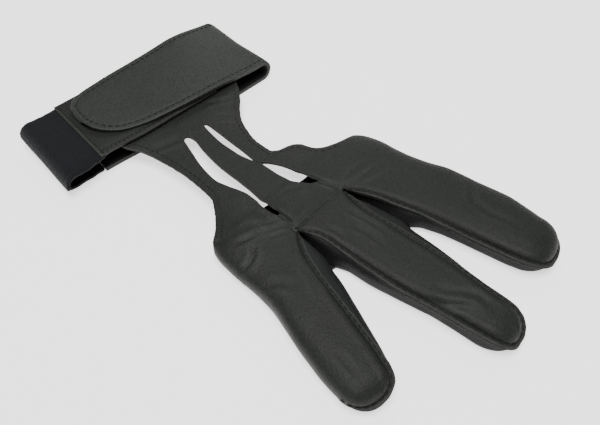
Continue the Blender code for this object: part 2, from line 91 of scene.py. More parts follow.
def glide(table, key, column, at):
    """The column's value at a place between the table's rows."""
    tag = (id(table), column)
    if tag not in known_curves:
        rows = sorted(table, key=lambda row: row[key])
        xs, ys = [row[key] for row in rows], [row[column] for row in rows]
        steep = [(ys[i + 1] - ys[i]) / (xs[i + 1] - xs[i]) for i in range(len(xs) - 1)]
        inner = [0.0 if a * b <= 0 else 2 * a * b / (a + b) for a, b in zip(steep, steep[1:])]
        known_curves[tag] = xs, ys, [steep[0]] + inner + [steep[-1]]
    xs, ys, slopes = known_curves[tag]
    if at <= xs[0] or at >= xs[-1]:
        return ys[0] if at <= xs[0] else ys[-1]
    i = bisect_right(xs, at) - 1
    wide = xs[i + 1] - xs[i]
    t = (at - xs[i]) / wide
    bow = t * t * (3 - 2 * t)
    lift = slopes[i] * (t**3 - 2 * t**2 + t) + slopes[i + 1] * (t**3 - t**2)
    return ys[i] + (ys[i + 1] - ys[i]) * bow + wide * lift


def ease(t):
    """Runs smoothly from 0 to 1 while t does."""
    t = max(0.0, min(1.0, t))
    return t * t * (3 - 2 * t)


def bell(distance, wide):
    """A soft hill, 1 high at no distance."""
    return math.exp(-((distance / wide) ** 2))


# %% The fingers' outlines and seams
def outline(columns, *rows, **same):
    """A table: the columns' names, its rows of numbers and what is the same in every row."""
    return tuple(dict(zip(columns.split(), row), **same) for row in rows)


# left and right are half widths, seam_ the top seam's inset, all as shares of the finger's width.
SHORT = outline(
    "along left right turn seam_right square",
    (0.00, 0.500, 0.500, 0.0, 0.01, 1.0),
    (0.13, 0.435, 0.575, 0.5, 0.22, 0.35),
    (0.30, 0.390, 0.610, 1.0, 0.29, 0.0),
    (0.50, 0.395, 0.560, 1.0, 0.24, 0.0),
    (0.70, 0.385, 0.495, 1.0, 0.18, 0.0),
    (0.85, 0.350, 0.430, 1.0, 0.13, 0.0),
    (1.00, 0.080, 0.140, 1.0, 0.08, 0.0),
    seam_left=0.01,
)
MIDDLE = outline(
    "along left right turn seam_left seam_right square",
    (0.00, 0.465, 0.465, 0.0, 0.01, 0.01, 1.0),
    (0.10, 0.455, 0.530, 0.6, 0.12, 0.14, 0.5),
    (0.20, 0.445, 0.590, 1.0, 0.11, 0.23, 0.1),
    (0.35, 0.450, 0.620, 1.0, 0.11, 0.24, 0.0),
    (0.50, 0.405, 0.585, 1.0, 0.07, 0.21, 0.0),
    (0.68, 0.335, 0.500, 1.0, 0.05, 0.15, 0.0),
    (0.80, 0.320, 0.445, 1.0, 0.05, 0.14, 0.0),
    (0.88, 0.315, 0.420, 1.0, 0.06, 0.13, 0.0),
    (1.00, 0.080, 0.120, 1.0, 0.06, 0.08, 0.0),
)
BROAD = outline(
    "along left right turn seam_left square",
    (0.00, 0.530, 0.490, 0.0, 0.01, 1.0),
    (0.10, 0.470, 0.475, 0.5, 0.05, 0.5),
    (0.20, 0.430, 0.485, 1.0, 0.06, 0.1),
    (0.35, 0.420, 0.550, 1.0, 0.09, 0.0),
    (0.50, 0.370, 0.535, 1.0, 0.05, 0.0),
    (0.65, 0.360, 0.525, 1.0, 0.04, 0.0),
    (0.80, 0.360, 0.450, 1.0, 0.04, 0.0),
    (0.88, 0.340, 0.390, 1.0, 0.04, 0.0),
    (1.00, 0.090, 0.110, 1.0, 0.04, 0.0),
    seam_right=0.01,
)
SIZES = {
    "short": dict(table=SHORT, width=25.0, length=57.9, turn=-15.3, x=-29.2, seams=("right",)),
    "middle": dict(table=MIDDLE, width=26.0, length=75.9, turn=2.4, x=-3.9, seams=("left", "right")),
    "broad": dict(table=BROAD, width=31.0, length=70.1, turn=8.2, x=26.0, seams=("left",)),
}
print("fingers:", {name: (size["width"], size["length"]) for name, size in SIZES.items()})

# %% The back's outline and its two slits, in millimetres
BACK = outline(
    "y left right",
    (100.0, -31.6, 28.2),
    (74.0, -30.4, 28.0),
    (66.6, -27.2, 24.7),
    (62.0, -25.8, 21.2),
    (56.7, -25.0, 15.9),
    (51.0, -24.5, 11.6),
    (45.0, -24.2, 9.0),
    (38.0, -24.4, 7.1),
    (31.0, -25.0, 7.0),
    (28.5, -25.6, 9.4),
    (27.0, -26.5, 14.6),
    (24.0, -28.6, 17.6),
    (20.0, -31.8, 19.0),
    (15.9, -36.0, 22.2),
    (14.2, -38.5, 27.2),
    (13.2, -39.3, 32.0),
    (12.2, -39.9, 36.8),
    (7.0, -40.9, 39.8),
    (-3.6, -41.2, 41.3),
)
SLIT_A = outline(
    "y low high",
    (60.0, -12.1, -9.8),
    (56.4, -13.2, -9.4),
    (50.1, -15.2, -10.9),
    (45.0, -16.8, -11.9),
    (40.0, -17.9, -12.6),
    (34.2, -18.6, -13.0),
    (28.7, -17.7, -13.2),
    (24.0, -16.4, -13.5),
    (20.0, -15.7, -13.8),
    (13.9, -15.7, -14.5),
    (8.4, -16.0, -15.2),
    (3.0, -15.3, -14.7),
)
SLIT_B = outline(
    "y low high",
    (60.0, -1.4, 0.2),
    (56.7, -2.1, 0.1),
    (51.3, -3.1, -0.2),
    (45.0, -3.8, -0.7),
    (38.0, -3.7, -1.0),
    (33.0, -2.9, -1.4),
    (30.5, -2.2, -1.6),
    (28.6, -1.7, -1.2),
    (26.0, -1.3, 0.9),
    (20.0, -1.3, 3.7),
    (15.0, -0.5, 4.8),
    (11.0, 0.9, 5.0),
    (8.5, 2.2, 5.1),
    (5.5, 3.6, 5.5),
)
SLIT_ENDS = {"a": (59.9, 5.2), "b": (60.0, 5.4)}
SLIT_ROUND, SLIT_FADE = 1.6, 5


def slit(name, y):
    """The slit's two edges at y. They meet in a round end, and part again where the leather is whole."""
    table = SLIT_A if name == "a" else SLIT_B
    low, high = glide(table, "y", "low", y), glide(table, "y", "high", y)
    top, bottom = SLIT_ENDS[name]
    middle, half = (low + high) / 2, (high - low) / 2
    inside = min(top - y, y - bottom)
    if inside >= 0:
        share = math.sqrt(max(0.0, 1 - (1 - min(1.0, inside / SLIT_ROUND)) ** 2))
    else:
        share = min(1.0, -inside / SLIT_FADE)
    return middle - half * share, middle + half * share


print("slit a is", round(SLIT_ENDS["a"][0] - SLIT_ENDS["a"][1], 1), "mm long")

# %% [markdown]
# ## A flattened finger as a row of sections
# An empty leather finger lies flat, with a soft crown, full sides and a nearly flat floor.
# A superellipse says all of that with one power: 2.6 is a soft side and 12 nearly a box, as at the crotch.
# The sections follow the finger's axis and close in a rounded tip.


# %% Sections of a finger
POCKET_INSET = 0.52


def section(centre, across, left, right, height, **more):
    """A section's centre, the way across it, its half widths and its height, with the rest by name."""
    row = dict(centre=centre, across=across, left=left, right=right, height=height, shrink=1.0)
    row.update(seam_left=POCKET_INSET, seam_right=POCKET_INSET)
    row.update(square_left=SIDE_SQUARE, square_right=SIDE_SQUARE)
    row.update(floor_left=FLOOR_SQUARE, floor_right=FLOOR_SQUARE)
    row.update(more)
    return row


def skin(row, angle):
    """A point of the section. The angle is 0 at the right side and 90 degrees on top."""
    cosine, sine = math.cos(angle), math.sin(angle)
    side = "right" if cosine >= 0 else "left"
    rim = side_seam_height
    if sine >= 0:
        power = 2 / row["square_" + side]
        z = rim + (row["height"] - rim) * row["shrink"] * sine**power
    else:
        power = 2 / row["floor_" + side]
        z = rim - rim * row["shrink"] * (-sine) ** power
    point = row["centre"] + row["across"] * math.copysign(row[side] * abs(cosine) ** power, cosine)
    return Vector((point.x, point.y, z))


def mirrored(side, angle):
    return angle if side == "right" else math.pi - angle


def seam_angle(row, side):
    """Where the top seam runs on this side."""
    inset = max(row["seam_" + side] / row[side], 0.004) * row["shrink"]
    return mirrored(side, math.acos((1 - inset) ** (row["square_" + side] / 2)))


def foot_angle(row, side):
    """Where the side meets the palm."""
    share = min(1.0, (side_seam_height - foot_level) / side_seam_height)
    return mirrored(side, -math.asin(share ** (row["floor_" + side] / 2)))


def squares(name, boxy):
    """How square the section's sides and feet are. Only a sewn side can be boxy."""
    found = {}
    for side in ("left", "right"):
        sewn = boxy if side in SIZES[name]["seams"] else 0.0
        found["square_" + side] = SIDE_SQUARE + (BOXY - SIDE_SQUARE) * sewn
        found["floor_" + side] = FLOOR_SQUARE + (BOXY - FLOOR_SQUARE) * sewn
    return found


def finger_rows(name, body_steps=64, tip_steps=16):
    """The finger's sections from its base to its rounded tip."""
    size = SIZES[name]
    turn, table, width = math.radians(size["turn"]), size["table"], size["width"]
    axis, base = Vector((math.sin(turn), -math.cos(turn))), Vector((size["x"], base_y))
    rows = []
    for i in range(body_steps + tip_steps + 1):
        tip = max(0.0, (i - body_steps) / tip_steps) * math.pi / 2
        if i <= body_steps:
            along = TIP_START * i / body_steps
        else:
            along = TIP_START + (1 - TIP_START) * math.sin(tip)
        shrink = math.cos(tip) if i < body_steps + tip_steps else 0.0
        lean = turn * glide(table, "along", "turn", along)
        more = squares(name, glide(table, "along", "square", along))
        for side in ("left", "right"):
            body = glide(table, "along", side, min(along, TIP_START))
            # The last section keeps 6 % of its width, so the tip ends in a short line and not in a point.
            more[side] = width * body * (0.06 + 0.94 * shrink**0.86)
            more["seam_" + side] = width * glide(table, "along", "seam_" + side, along)
        centre, across = base + axis * size["length"] * along, Vector((math.cos(lean), math.sin(lean)))
        rows.append(section(centre, across, height=finger_height, shrink=shrink, **more))
    return rows


fingers = {name: finger_rows(name) for name in SIZES}
print("sections a finger:", len(fingers["short"]))

# %% [markdown]
# ## Walking over a section
# Points that lie close together near a seam can show the roll of leather beside it, and wide ones elsewhere
# save triangles. So each walk over a section is measured along the leather and takes its own stations.

# %% Stations along the leather
SEAM_STATIONS = (0.0, 0.3, 0.65, 1.05, 1.5, 2.0, 2.6, 3.3)


def stations(length, count, fine_start, fine_end):
    """Distances from 0 to length, closer together at an end that is sewn or hemmed."""
    shrunk = min(1.0, length / 12)
    start = [s * shrunk for s in SEAM_STATIONS] if fine_start else [0.0]
    end = [length - s * shrunk for s in reversed(SEAM_STATIONS)] if fine_end else [length]
    middle = [start[-1] + (end[0] - start[-1]) * i / (count + 1) for i in range(1, count + 1)]
    return start + middle + end


def reach_of(points):
    """How far along the path each of its points is."""
    reach = [0.0]
    for before, after in zip(points, points[1:]):
        reach.append(reach[-1] + (after - before).length)
    return reach


def walk(row, start, end, count, fine_start=False, fine_end=False):
    """Points over the section from one angle to the other, at stations measured along the leather."""
    fine = 72
    angles = [start + (end - start) * i / fine for i in range(fine + 1)]
    reach = reach_of([skin(row, angle) for angle in angles])
    found = []
    for want in stations(reach[-1], count, fine_start, fine_end):
        j = min(fine - 1, max(0, bisect_right(reach, want) - 1))
        t = (want - reach[j]) / max(reach[j + 1] - reach[j], 1e-9)
        found.append(skin(row, angles[j] + (angles[j + 1] - angles[j]) * min(1.0, t)))
    return found


def line(start, end, count, fine_start=False, fine_end=False):
    """The same stations on a straight line."""
    length = max((end - start).length, 1e-6)
    return [start.lerp(end, s / length) for s in stations(length, count, fine_start, fine_end)]


print("stations on a sewn edge:", SEAM_STATIONS)

# %% [markdown]
# ## Creases and soft bumps
# Worn glove leather shows fans of creases at the crotches, folds where the back narrows and slow bumps all over.
# Each crease here is a short path on the plan. A vertex near it is pushed in, and the leather beside it swells.

# %% Creases on the plan, in millimetres: depth, width and path
CREASES = (
    (0.45, 0.9, ((-16.2, -2.0), (-19.6, 0.5), (-25.6, 3.3), (-31.5, 5.4), (-35.9, 7.1))),
    (0.30, 0.8, ((-18.6, -3.2), (-23.5, -0.9), (-27.7, 1.2), (-31.0, 3.6))),
    (0.30, 1.0, ((-15.5, 1.0), (-20.4, 4.5), (-26.5, 8.1), (-31.3, 10.1))),
    (0.55, 0.8, ((-30.5, 2.3), (-34.1, -1.2), (-36.7, -2.1), (-39.7, -2.3), (-41.5, -1.4))),
    (0.22, 1.2, ((-39.8, -10.9), (-36.2, -15.2), (-33.7, -20.2))),
    (0.22, 1.2, ((-22.9, 16.7), (-21.3, 12.3), (-20.9, 6.4), (-21.5, 0.5))),
    (0.30, 0.9, ((9.3, -4.6), (16.0, -6.1), (27.9, -8.6))),
    (0.28, 0.8, ((7.7, -3.6), (7.2, 0.7), (5.4, 4.9))),
    (0.25, 1.0, ((10.3, -3.8), (16.3, -2.2), (26.1, -3.0))),
    (0.22, 1.0, ((41.0, -37.1), (34.9, -41.7), (33.6, -49.3), (35.4, -60.0))),
    (0.28, 0.9, ((1.7, -11.2), (2.8, -19.2), (3.3, -28.3))),
    (0.20, 0.9, ((-2.5, -17.3), (-1.7, -22.7), (-2.0, -30.6))),
    (-0.45, 1.6, ((-6.9, -51.5), (-5.5, -56.9), (-2.3, -61.0), (-0.3, -64.8), (-1.6, -69.8))),
    (0.35, 1.0, ((-8.8, -53.0), (-7.4, -58.0), (-4.6, -62.4), (-2.6, -66.0))),
    (0.25, 0.8, ((-10.4, -10.5), (-8.3, -14.1), (-8.5, -19.1))),
    (0.22, 1.0, ((-42.4, -43.0), (-43.3, -47.6), (-44.1, -52.7))),
    (0.20, 1.1, ((-25.9, -14.4), (-28.0, -21.5), (-30.9, -28.2))),
    (0.24, 1.0, ((-11.6, 12.0), (-4.8, 9.5), (2.1, 5.5))),
    (0.45, 0.7, ((-15.1, 7.5), (-15.4, 3.4), (-15.3, -1.1))),
    (0.35, 0.7, ((5.4, 11.0), (5.9, 3.4), (7.7, -2.6))),
    (0.25, 1.3, ((-24.7, 64.4), (-17.1, 61.7), (-11.3, 59.5))),
    (0.25, 1.2, ((12.2, 51.0), (9.0, 56.4), (3.4, 59.9))),
    (0.30, 0.9, ((6.8, 69.0), (14.2, 65.7), (21.6, 61.4))),
)


def crease_depth(point, path, wide):
    """How strongly a crease's path is felt at the point, from 0 to 1, with its ends fading out."""
    best, where, total = 1e9, 0.0, 0.0
    lengths = [math.dist(a, b) for a, b in zip(path, path[1:])]
    for (a, b), length in zip(zip(path, path[1:]), lengths):
        t = ((point.x - a[0]) * (b[0] - a[0]) + (point.y - a[1]) * (b[1] - a[1])) / length**2
        t = max(0.0, min(1.0, t))
        away = math.hypot(point.x - a[0] - (b[0] - a[0]) * t, point.y - a[1] - (b[1] - a[1]) * t)
        if away < best:
            best, where = away, total + length * t
        total += length
    fade = ease(min(where, total - where) / (0.3 * total) + 0.15)
    swell = 0.4 * bell(best - 2.1 * wide, wide)
    return (bell(best, wide) - swell) * fade


SLOW, QUICK = dict(width=17.0, height=0.38), dict(width=5.0, height=0.05)


def relief(point, amount=1.0):
    """How far the leather stands proud at this place of the plan, and how worn it is there."""
    slow = noise.noise(Vector((point.x, point.y, point.z * 2)) / SLOW["width"]) * SLOW["height"]
    quick = noise.noise(point / QUICK["width"] + Vector((9, 3, 5))) * QUICK["height"]
    high, worn = slow + quick, 0.0
    for deep, wide, path in CREASES:
        xs, ys = zip(*path)
        room = 4 * wide
        if min(xs) - room < point.x < max(xs) + room and min(ys) - room < point.y < max(ys) + room:
            felt = crease_depth(point, path, wide)
            high -= deep * felt
            worn += max(0.0, -felt) * abs(deep) * 2
    return high * amount, min(1.0, worn)


print("creases:", len(CREASES))

# %% [markdown]
# ## Colours and nodes
# Colours are written as a picture editor gives them, in sRGB, and turned to Blender's linear values by one
# function. One more function adds a node, sets its sockets and links it, so each material reads as a list.


# %% Small helpers for materials
def colour(code):
    channels = [int(code[i : i + 2], 16) / 255 for i in (1, 3, 5)]
    return (*[c / 12.92 if c <= 0.04045 else ((c + 0.055) / 1.055) ** 2.4 for c in channels], 1.0)


def add(tree, kind, sockets=None, **options):
    """Adds a node. A socket takes a number, a colour or another node's output."""
    node = tree.nodes.new("ShaderNode" + kind)
    for option, value in options.items():
        setattr(node, option, value)
    for name, value in (sockets or {}).items():
        if isinstance(value, bpy.types.NodeSocket):
            tree.links.new(value, node.inputs[name])
        else:
            node.inputs[name].default_value = value
    return node


def repeat(width):
    """The scale of a pattern that is so many millimetres wide."""
    return 1 / (width * MM)


def blank(name):
    """A new material with an empty tree, a Principled shader and its output."""
    material = bpy.data.materials.new(name)
    material.use_nodes = True
    tree = material.node_tree
    tree.nodes.clear()
    shader = add(tree, "BsdfPrincipled")
    add(tree, "OutputMaterial", {"Surface": shader.outputs["BSDF"]})
    return material, tree, shader


print("black leather in linear values:", [round(v, 4) for v in colour("#1f211e")[:3]])

# %% [markdown]
# ## Drum-dyed goat leather
# The glove leather is soft, dyed through and finished matt. Its grain is a mesh of pebbles about 0.6 mm wide,
# with finer pores on them. At this camera distance a pebble is barely a pixel, so it is drawn at 0.8 mm, and at
# 1 mm on the smoother calf of the strap.
# The dye wears to a grey where the leather rubs: on the swells beside creases and along cut edges.
# Those places carry a value named worn, which the mesh brings along.


# %% A leather finish
def leather(name, dark, light, worn, grain, rough, bump, gloss=0.26):
    """Grain is the pebbles' width in millimetres. Rough, bump and gloss set the finish."""
    material, tree, shader = blank(name)
    place = add(tree, "TexCoord").outputs["Object"]
    sway = add(tree, "TexNoise", {"Vector": place, "Scale": repeat(3.0 * grain), "Detail": 2.0})
    shift = add(tree, "VectorMath", {0: sway.outputs["Color"], "Scale": 0.5 * grain * MM}, operation="SCALE")
    bent = add(tree, "VectorMath", {0: place, 1: shift.outputs[0]}, operation="ADD").outputs[0]
    pebbles = {"Vector": bent, "Scale": repeat(grain), "Smoothness": 0.35}
    pebble = add(tree, "TexVoronoi", pebbles, feature="SMOOTH_F1").outputs["Distance"]
    pores = add(tree, "TexNoise", {"Vector": place, "Scale": repeat(0.35 * grain), "Detail": 2.0})
    long_folds = {"Vector": place, "Scale": repeat(4.5), "Detail": 5.0, "Roughness": 0.6, "Distortion": 0.8}
    folds = add(tree, "TexNoise", long_folds).outputs["Fac"]
    patches = add(tree, "TexNoise", {"Vector": place, "Scale": repeat(21.0), "Detail": 3.0}).outputs["Fac"]
    height = add(tree, "Math", {0: pebble, 1: -0.5, 2: folds}, operation="MULTIPLY_ADD").outputs[0]
    height = add(tree, "Math", {0: pores.outputs["Fac"], 1: 0.22, 2: height}, operation="MULTIPLY_ADD").outputs[0]
    raised = add(tree, "Bump", {"Height": height, "Strength": bump, "Distance": 0.35 * MM})
    tint = add(tree, "Mix", {0: patches, 6: colour(dark), 7: colour(light)}, data_type="RGBA").outputs[2]
    # Painted shade: the grain's valleys are darkened towards #0d0e0d.
    grain_valley_shade = add(tree, "MapRange", {0: pebble, 1: 0.35, 2: 0.75, 3: 0.0, 4: 0.35}).outputs[0]
    deep = add(tree, "Mix", {0: grain_valley_shade, 6: tint, 7: colour("#0d0e0d")}, data_type="RGBA").outputs[2]
    rubbed = add(tree, "Attribute", attribute_name="worn", attribute_type="GEOMETRY").outputs["Fac"]
    speck = add(tree, "Math", {0: rubbed, 1: folds}, operation="MULTIPLY").outputs[0]
    faded = add(tree, "Mix", {0: speck, 6: deep, 7: colour(worn)}, data_type="RGBA")
    shine = add(tree, "MapRange", {0: patches, 1: 0.3, 2: 0.7, 3: rough - 0.05, 4: rough + 0.07})
    tree.links.new(faded.outputs[2], shader.inputs["Base Color"])
    tree.links.new(shine.outputs[0], shader.inputs["Roughness"])
    tree.links.new(raised.outputs[0], shader.inputs["Normal"])
    shader.inputs["Specular IOR Level"].default_value = gloss
    return material


back_leather = leather("goat_leather_back", "#161816", "#232622", "#454843", 0.8, 0.58, 0.55)
finger_leather = leather("goat_leather_finger", "#151715", "#222521", "#454843", 0.8, 0.57, 0.55)
side_leather = leather("goat_leather_sides", "#191b1a", "#252725", "#454743", 0.8, 0.64, 0.45, gloss=0.17)
palm_leather = leather("goat_leather_palm", "#121311", "#1a1b1a", "#363834", 0.8, 0.70, 0.40, gloss=0.10)
strap_leather = leather("smooth_calf_leather_strap", "#232723", "#2e322d", "#575b55", 1.0, 0.56, 0.34)
print("leathers:", [m.name for m in (back_leather, finger_leather, side_leather, palm_leather, strap_leather)])

# %% [markdown]
# ## The flesh side, the cut edge and the thread
# Inside, the leather is brushed suede, which scatters light and shows no gloss.
# Where it is cut, its fibres show as a dull grey line. The thread is bonded nylon, a little glossier.


# %% Suede, cut edge and thread
def fibres(name, dark, light, size, rough, sheen):
    """A dull fibrous surface. Size is the fibre clumps' width in millimetres."""
    material, tree, shader = blank(name)
    place = add(tree, "TexCoord").outputs["Object"]
    nap = add(tree, "TexNoise", {"Vector": place, "Scale": repeat(size), "Detail": 4.0, "Roughness": 0.7})
    tint = add(tree, "Mix", {0: nap.outputs["Fac"], 6: colour(dark), 7: colour(light)}, data_type="RGBA")
    raised = add(tree, "Bump", {"Height": nap.outputs["Fac"], "Strength": 0.7, "Distance": 0.25 * MM})
    tree.links.new(tint.outputs[2], shader.inputs["Base Color"])
    tree.links.new(raised.outputs[0], shader.inputs["Normal"])
    shader.inputs["Roughness"].default_value = rough
    shader.inputs["Specular IOR Level"].default_value = 0.25
    shader.inputs["Sheen Weight"].default_value = sheen
    return material


# The suede's dark colour is partly the flesh side's own dye and partly painted shade for the inside of the loops
# and the glove.
suede_and_painted_inner_shade = fibres("brushed_suede_flesh_side_and_painted_inner_shade", "#121212", "#1c1b1b", 0.5, 0.95, 0.05)
cut_edge = fibres("cut_leather_edge", "#1f201e", "#3c3d39", 0.35, 0.88, 0.03)
thread = fibres("bonded_nylon_thread", "#0e0e0f", "#1d1d1f", 0.25, 0.5, 0.0)
print("edges and thread:", suede_and_painted_inner_shade.name, cut_edge.name, thread.name)

# %% [markdown]
# ## Ribbed elastic
# The wrist elastic is woven from covered rubber. Its ribs run along the band, about one every 0.9 mm, and the
# crossing threads make small steps on them, 0.7 mm apart. The pattern has to follow the band round its fold,
# so it reads the band's own UV map, which is laid out in millimetres.

# %% The elastic's weave
RIB, STEP = 0.9, 0.7
ribbed_elastic, tree, shader = blank("ribbed_elastic_weave")
flat = add(tree, "UVMap", uv_map="cloth_mm").outputs["UV"]
parts = add(tree, "SeparateXYZ", {0: flat})
turn = add(tree, "Math", {0: parts.outputs["Y"], 1: math.pi / RIB}, operation="MULTIPLY").outputs[0]
wave = add(tree, "Math", {0: turn}, operation="SINE")
rib = add(tree, "Math", {0: wave.outputs[0]}, operation="ABSOLUTE")
crossing = {0: parts.outputs["X"], 1: 2 * math.pi / STEP, 2: turn}
step_turn = add(tree, "Math", crossing, operation="MULTIPLY_ADD")
step = add(tree, "Math", {0: step_turn.outputs[0]}, operation="SINE")
lint = add(tree, "TexNoise", {"Vector": flat, "Scale": 1.3, "Detail": 4.0, "Roughness": 0.7})
weave = add(tree, "Math", {0: step.outputs[0], 1: 0.3, 2: rib.outputs[0]}, operation="MULTIPLY_ADD")
weave = add(tree, "Math", {0: lint.outputs["Fac"], 1: 0.5, 2: weave.outputs[0]}, operation="MULTIPLY_ADD")
raised = add(tree, "Bump", {"Height": weave.outputs[0], "Strength": 0.8, "Distance": 0.22 * MM})
# Painted shade: the weave's colour follows its height, darker in the grooves between the ribs and lighter on
# their tops; the lint noise mixed in is random tone.
rib_shade_and_lint = add(tree, "MapRange", {0: weave.outputs[0], 1: 0.1, 2: 1.5, 3: 0.0, 4: 1.0})
tint = add(tree, "Mix", {0: rib_shade_and_lint.outputs[0], 6: colour("#08090b"), 7: colour("#16181c")}, data_type="RGBA")
tree.links.new(tint.outputs[2], shader.inputs["Base Color"])
tree.links.new(raised.outputs[0], shader.inputs["Normal"])
shader.inputs["Roughness"].default_value = 0.86
shader.inputs["Specular IOR Level"].default_value = 0.2
shader.inputs["Sheen Weight"].default_value = 0.04
print("ribs on a 39 mm band:", round(39 / RIB))

# %% [markdown]
# ## From a net of points to a wall of leather
# A sheet starts as a plain grid, one face for each cell of the net. Cells in a slit are deleted, the grid's
# corners are placed on the net, and the Solidify modifier gives the wall with its flesh side and its cut edge.
# A small Bevel rounds the cut, because a knife-cut leather edge is never sharp.


# %% A function that makes a sheet
def grid(bm, rows, columns):
    """Adds a plain grid and says at which row and column of the net each vertex is."""
    bmesh.ops.create_grid(bm, x_segments=columns - 1, y_segments=rows - 1, size=0.5)
    return {v: (round((v.co.y + 0.5) * (rows - 1)), round((v.co.x + 0.5) * (columns - 1))) for v in bm.verts}


def finished(bm, name, materials):
    """Makes the bmesh a smooth object at the origin, with its materials."""
    mesh = bpy.data.meshes.new(name)
    bm.to_mesh(mesh)
    bm.free()
    mesh.shade_smooth()
    for material in materials:
        mesh.materials.append(material)
    piece = bpy.data.objects.new(name, mesh)
    bpy.context.scene.collection.objects.link(piece)
    return piece


def facing(net, r, c, sign):
    """The net's outward direction at one of its points."""
    rows, columns = len(net), len(net[0])
    down = net[min(r + 1, rows - 1)][c] - net[max(r - 1, 0)][c]
    over = net[r][min(c + 1, columns - 1)] - net[r][max(c - 1, 0)]
    way = down.cross(over) * sign
    return way.normalized() if way.length > 1e-6 else Vector((0, 0, 1.0))


def dress(piece, nodes):
    """Hangs the piece under the root body and hides the CAD nodes that it stands for."""
    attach(piece, "root")
    if nodes:
        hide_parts(*nodes)
    return piece


def sheet(name, net, skins, wall, nodes, cut=(), sign=1, amount=1.0, edge=0.22, shape=None):
    """A wall of leather or cloth with its outside on the net. Shape may move a point that the bumps have moved.

    Skins are the outer, the inner and the edge's finish. Amount is the share of the bumps that is kept.
    """
    rows, columns = len(net), len(net[0])
    bm = bmesh.new()
    cloth, worn = bm.loops.layers.uv.new("cloth_mm"), bm.verts.layers.float.new("worn")
    home = grid(bm, rows, columns)
    doomed = []
    for face in bm.faces:
        spots = [home[v] for v in face.verts]
        if (min(s[0] for s in spots), min(s[1] for s in spots)) in cut:
            doomed.append(face)
    bmesh.ops.delete(bm, geom=doomed, context="FACES")
    run, climb = [reach_of(column) for column in zip(*net)], [reach_of(row) for row in net]
    for face in bm.faces:
        for loop in face.loops:
            r, c = home[loop.vert]
            loop[cloth].uv = (run[c][r], climb[r][c])
    outward = {}
    for v, (r, c) in home.items():
        if not v.is_valid:
            continue
        way = facing(net, r, c, sign)
        high, rubbed = relief(net[r][c], amount)
        point = net[r][c] + way * high
        if shape:
            point = shape(point, r, c)
        v[worn] = max(rubbed, 0.8 if v.is_boundary else 0.0)
        outward[v] = way
        v.co = world(point)
    bm.normal_update()
    agree = sum(1 if face.normal.dot(outward[face.verts[0]]) > 0 else -1 for face in bm.faces)
    if agree < 0:
        bmesh.ops.reverse_faces(bm, faces=bm.faces)
    bmesh.ops.remove_doubles(bm, verts=bm.verts, dist=0.01 * MM)
    bmesh.ops.dissolve_degenerate(bm, edges=bm.edges, dist=0.005 * MM)
    piece = finished(bm, name, skins)
    solid = piece.modifiers.new("wall", "SOLIDIFY")
    solid.thickness, solid.offset = wall * MM, -1.0
    solid.material_offset, solid.material_offset_rim = 1, 2
    bevel = piece.modifiers.new("cut edge", "BEVEL")
    bevel.width, bevel.segments, bevel.profile = edge * MM, 2, 0.5
    bevel.limit_method, bevel.angle_limit = "ANGLE", math.radians(55)
    return dress(piece, nodes)


print("sheets are made of a grid, a Solidify and a Bevel")

# %% [markdown]
# ## The back panel
# One piece of leather runs from under the strap over the back of the hand and, without a seam, over the tops and
# outer sides of the two outer fingers. Two long slits leave three strips that move with the hand.
# At the knuckles it folds down on both sides to the palm. The free edges of its waist are hemmed.

# %% Rows of the back panel
SIDE, TOP, MID = 9, 14, 16
ACROSS = Vector((1.0, 0.0))
NEAR_START, RISE_START, RISE_LENGTH = 8.0, 18.5, 20.0
CROTCH_SECTIONS = {}
for name, rows in fingers.items():
    at = rows[0]
    CROTCH_SECTIONS[name] = (at["centre"].x - at["left"], at["centre"].x + at["right"])


def back_sides(y):
    return glide(BACK, "y", "left", y), glide(BACK, "y", "right", y)


def back_edges(y):
    """Where the left side, both edges of each slit and the right side are at y."""
    left, right = back_sides(y)
    return (left, *slit("a", y), *slit("b", y), right)


def pocket(y):
    """The three sections of the knuckle pocket at y."""
    left, a_low, a_high, b_low, b_high, right = back_edges(y)
    near = ease((NEAR_START - y) / (NEAR_START - crotch_y))
    rise = math.sin(math.pi / 2 * ease((RISE_START - y) / RISE_LENGTH))
    height = panel_top + (finger_height - panel_top) * rise
    spans = {"short": (left, a_low), "middle": (a_high, b_low), "broad": (b_high, right)}
    found = []
    for name, (low, high) in spans.items():
        low += (CROTCH_SECTIONS[name][0] - low) * near
        high += (CROTCH_SECTIONS[name][1] - high) * near
        centre, half = Vector(((low + high) / 2, y)), (high - low) / 2
        found.append(section(centre, ACROSS, half, half, height, **squares(name, 1.0)))
    return found


def outer_top(row, outer, inner, fine):
    """Over a finger's top, from the foot of its outer side to its inner seam."""
    shoulder = mirrored(outer, math.radians(52))
    side = walk(row, foot_angle(row, outer), shoulder, SIDE - 1)
    return side[:-1] + walk(row, shoulder, seam_angle(row, inner), TOP, True, fine)


def folded_row(y):
    """The row at y as three sections: two outer tops with their sides and the middle between the seams."""
    short, middle, broad = pocket(y)
    left = outer_top(short, "left", "right", True)
    over = walk(middle, seam_angle(middle, "left"), seam_angle(middle, "right"), MID, True, True)
    right = list(reversed(outer_top(broad, "right", "left", True)))
    return left, over, right


def flat_row(y):
    """The row at y as three flat strips, with the sides' columns waiting at the edges."""
    spans = [Vector((x, y, panel_top)) for x in back_edges(y)]
    first = [spans[0]] * SIDE + line(spans[0], spans[1], TOP, True, True)
    last = line(spans[4], spans[5], TOP, True, True) + [spans[5]] * SIDE
    return first, line(spans[2], spans[3], MID, True, True), last


def joined(groups):
    """One row of the net, with three cells across each link between two groups."""
    row = list(groups[0])
    for group in groups[1:]:
        row += [row[-1].lerp(group[0], 1 / 3), row[-1].lerp(group[0], 2 / 3)]
        row += group
    return row


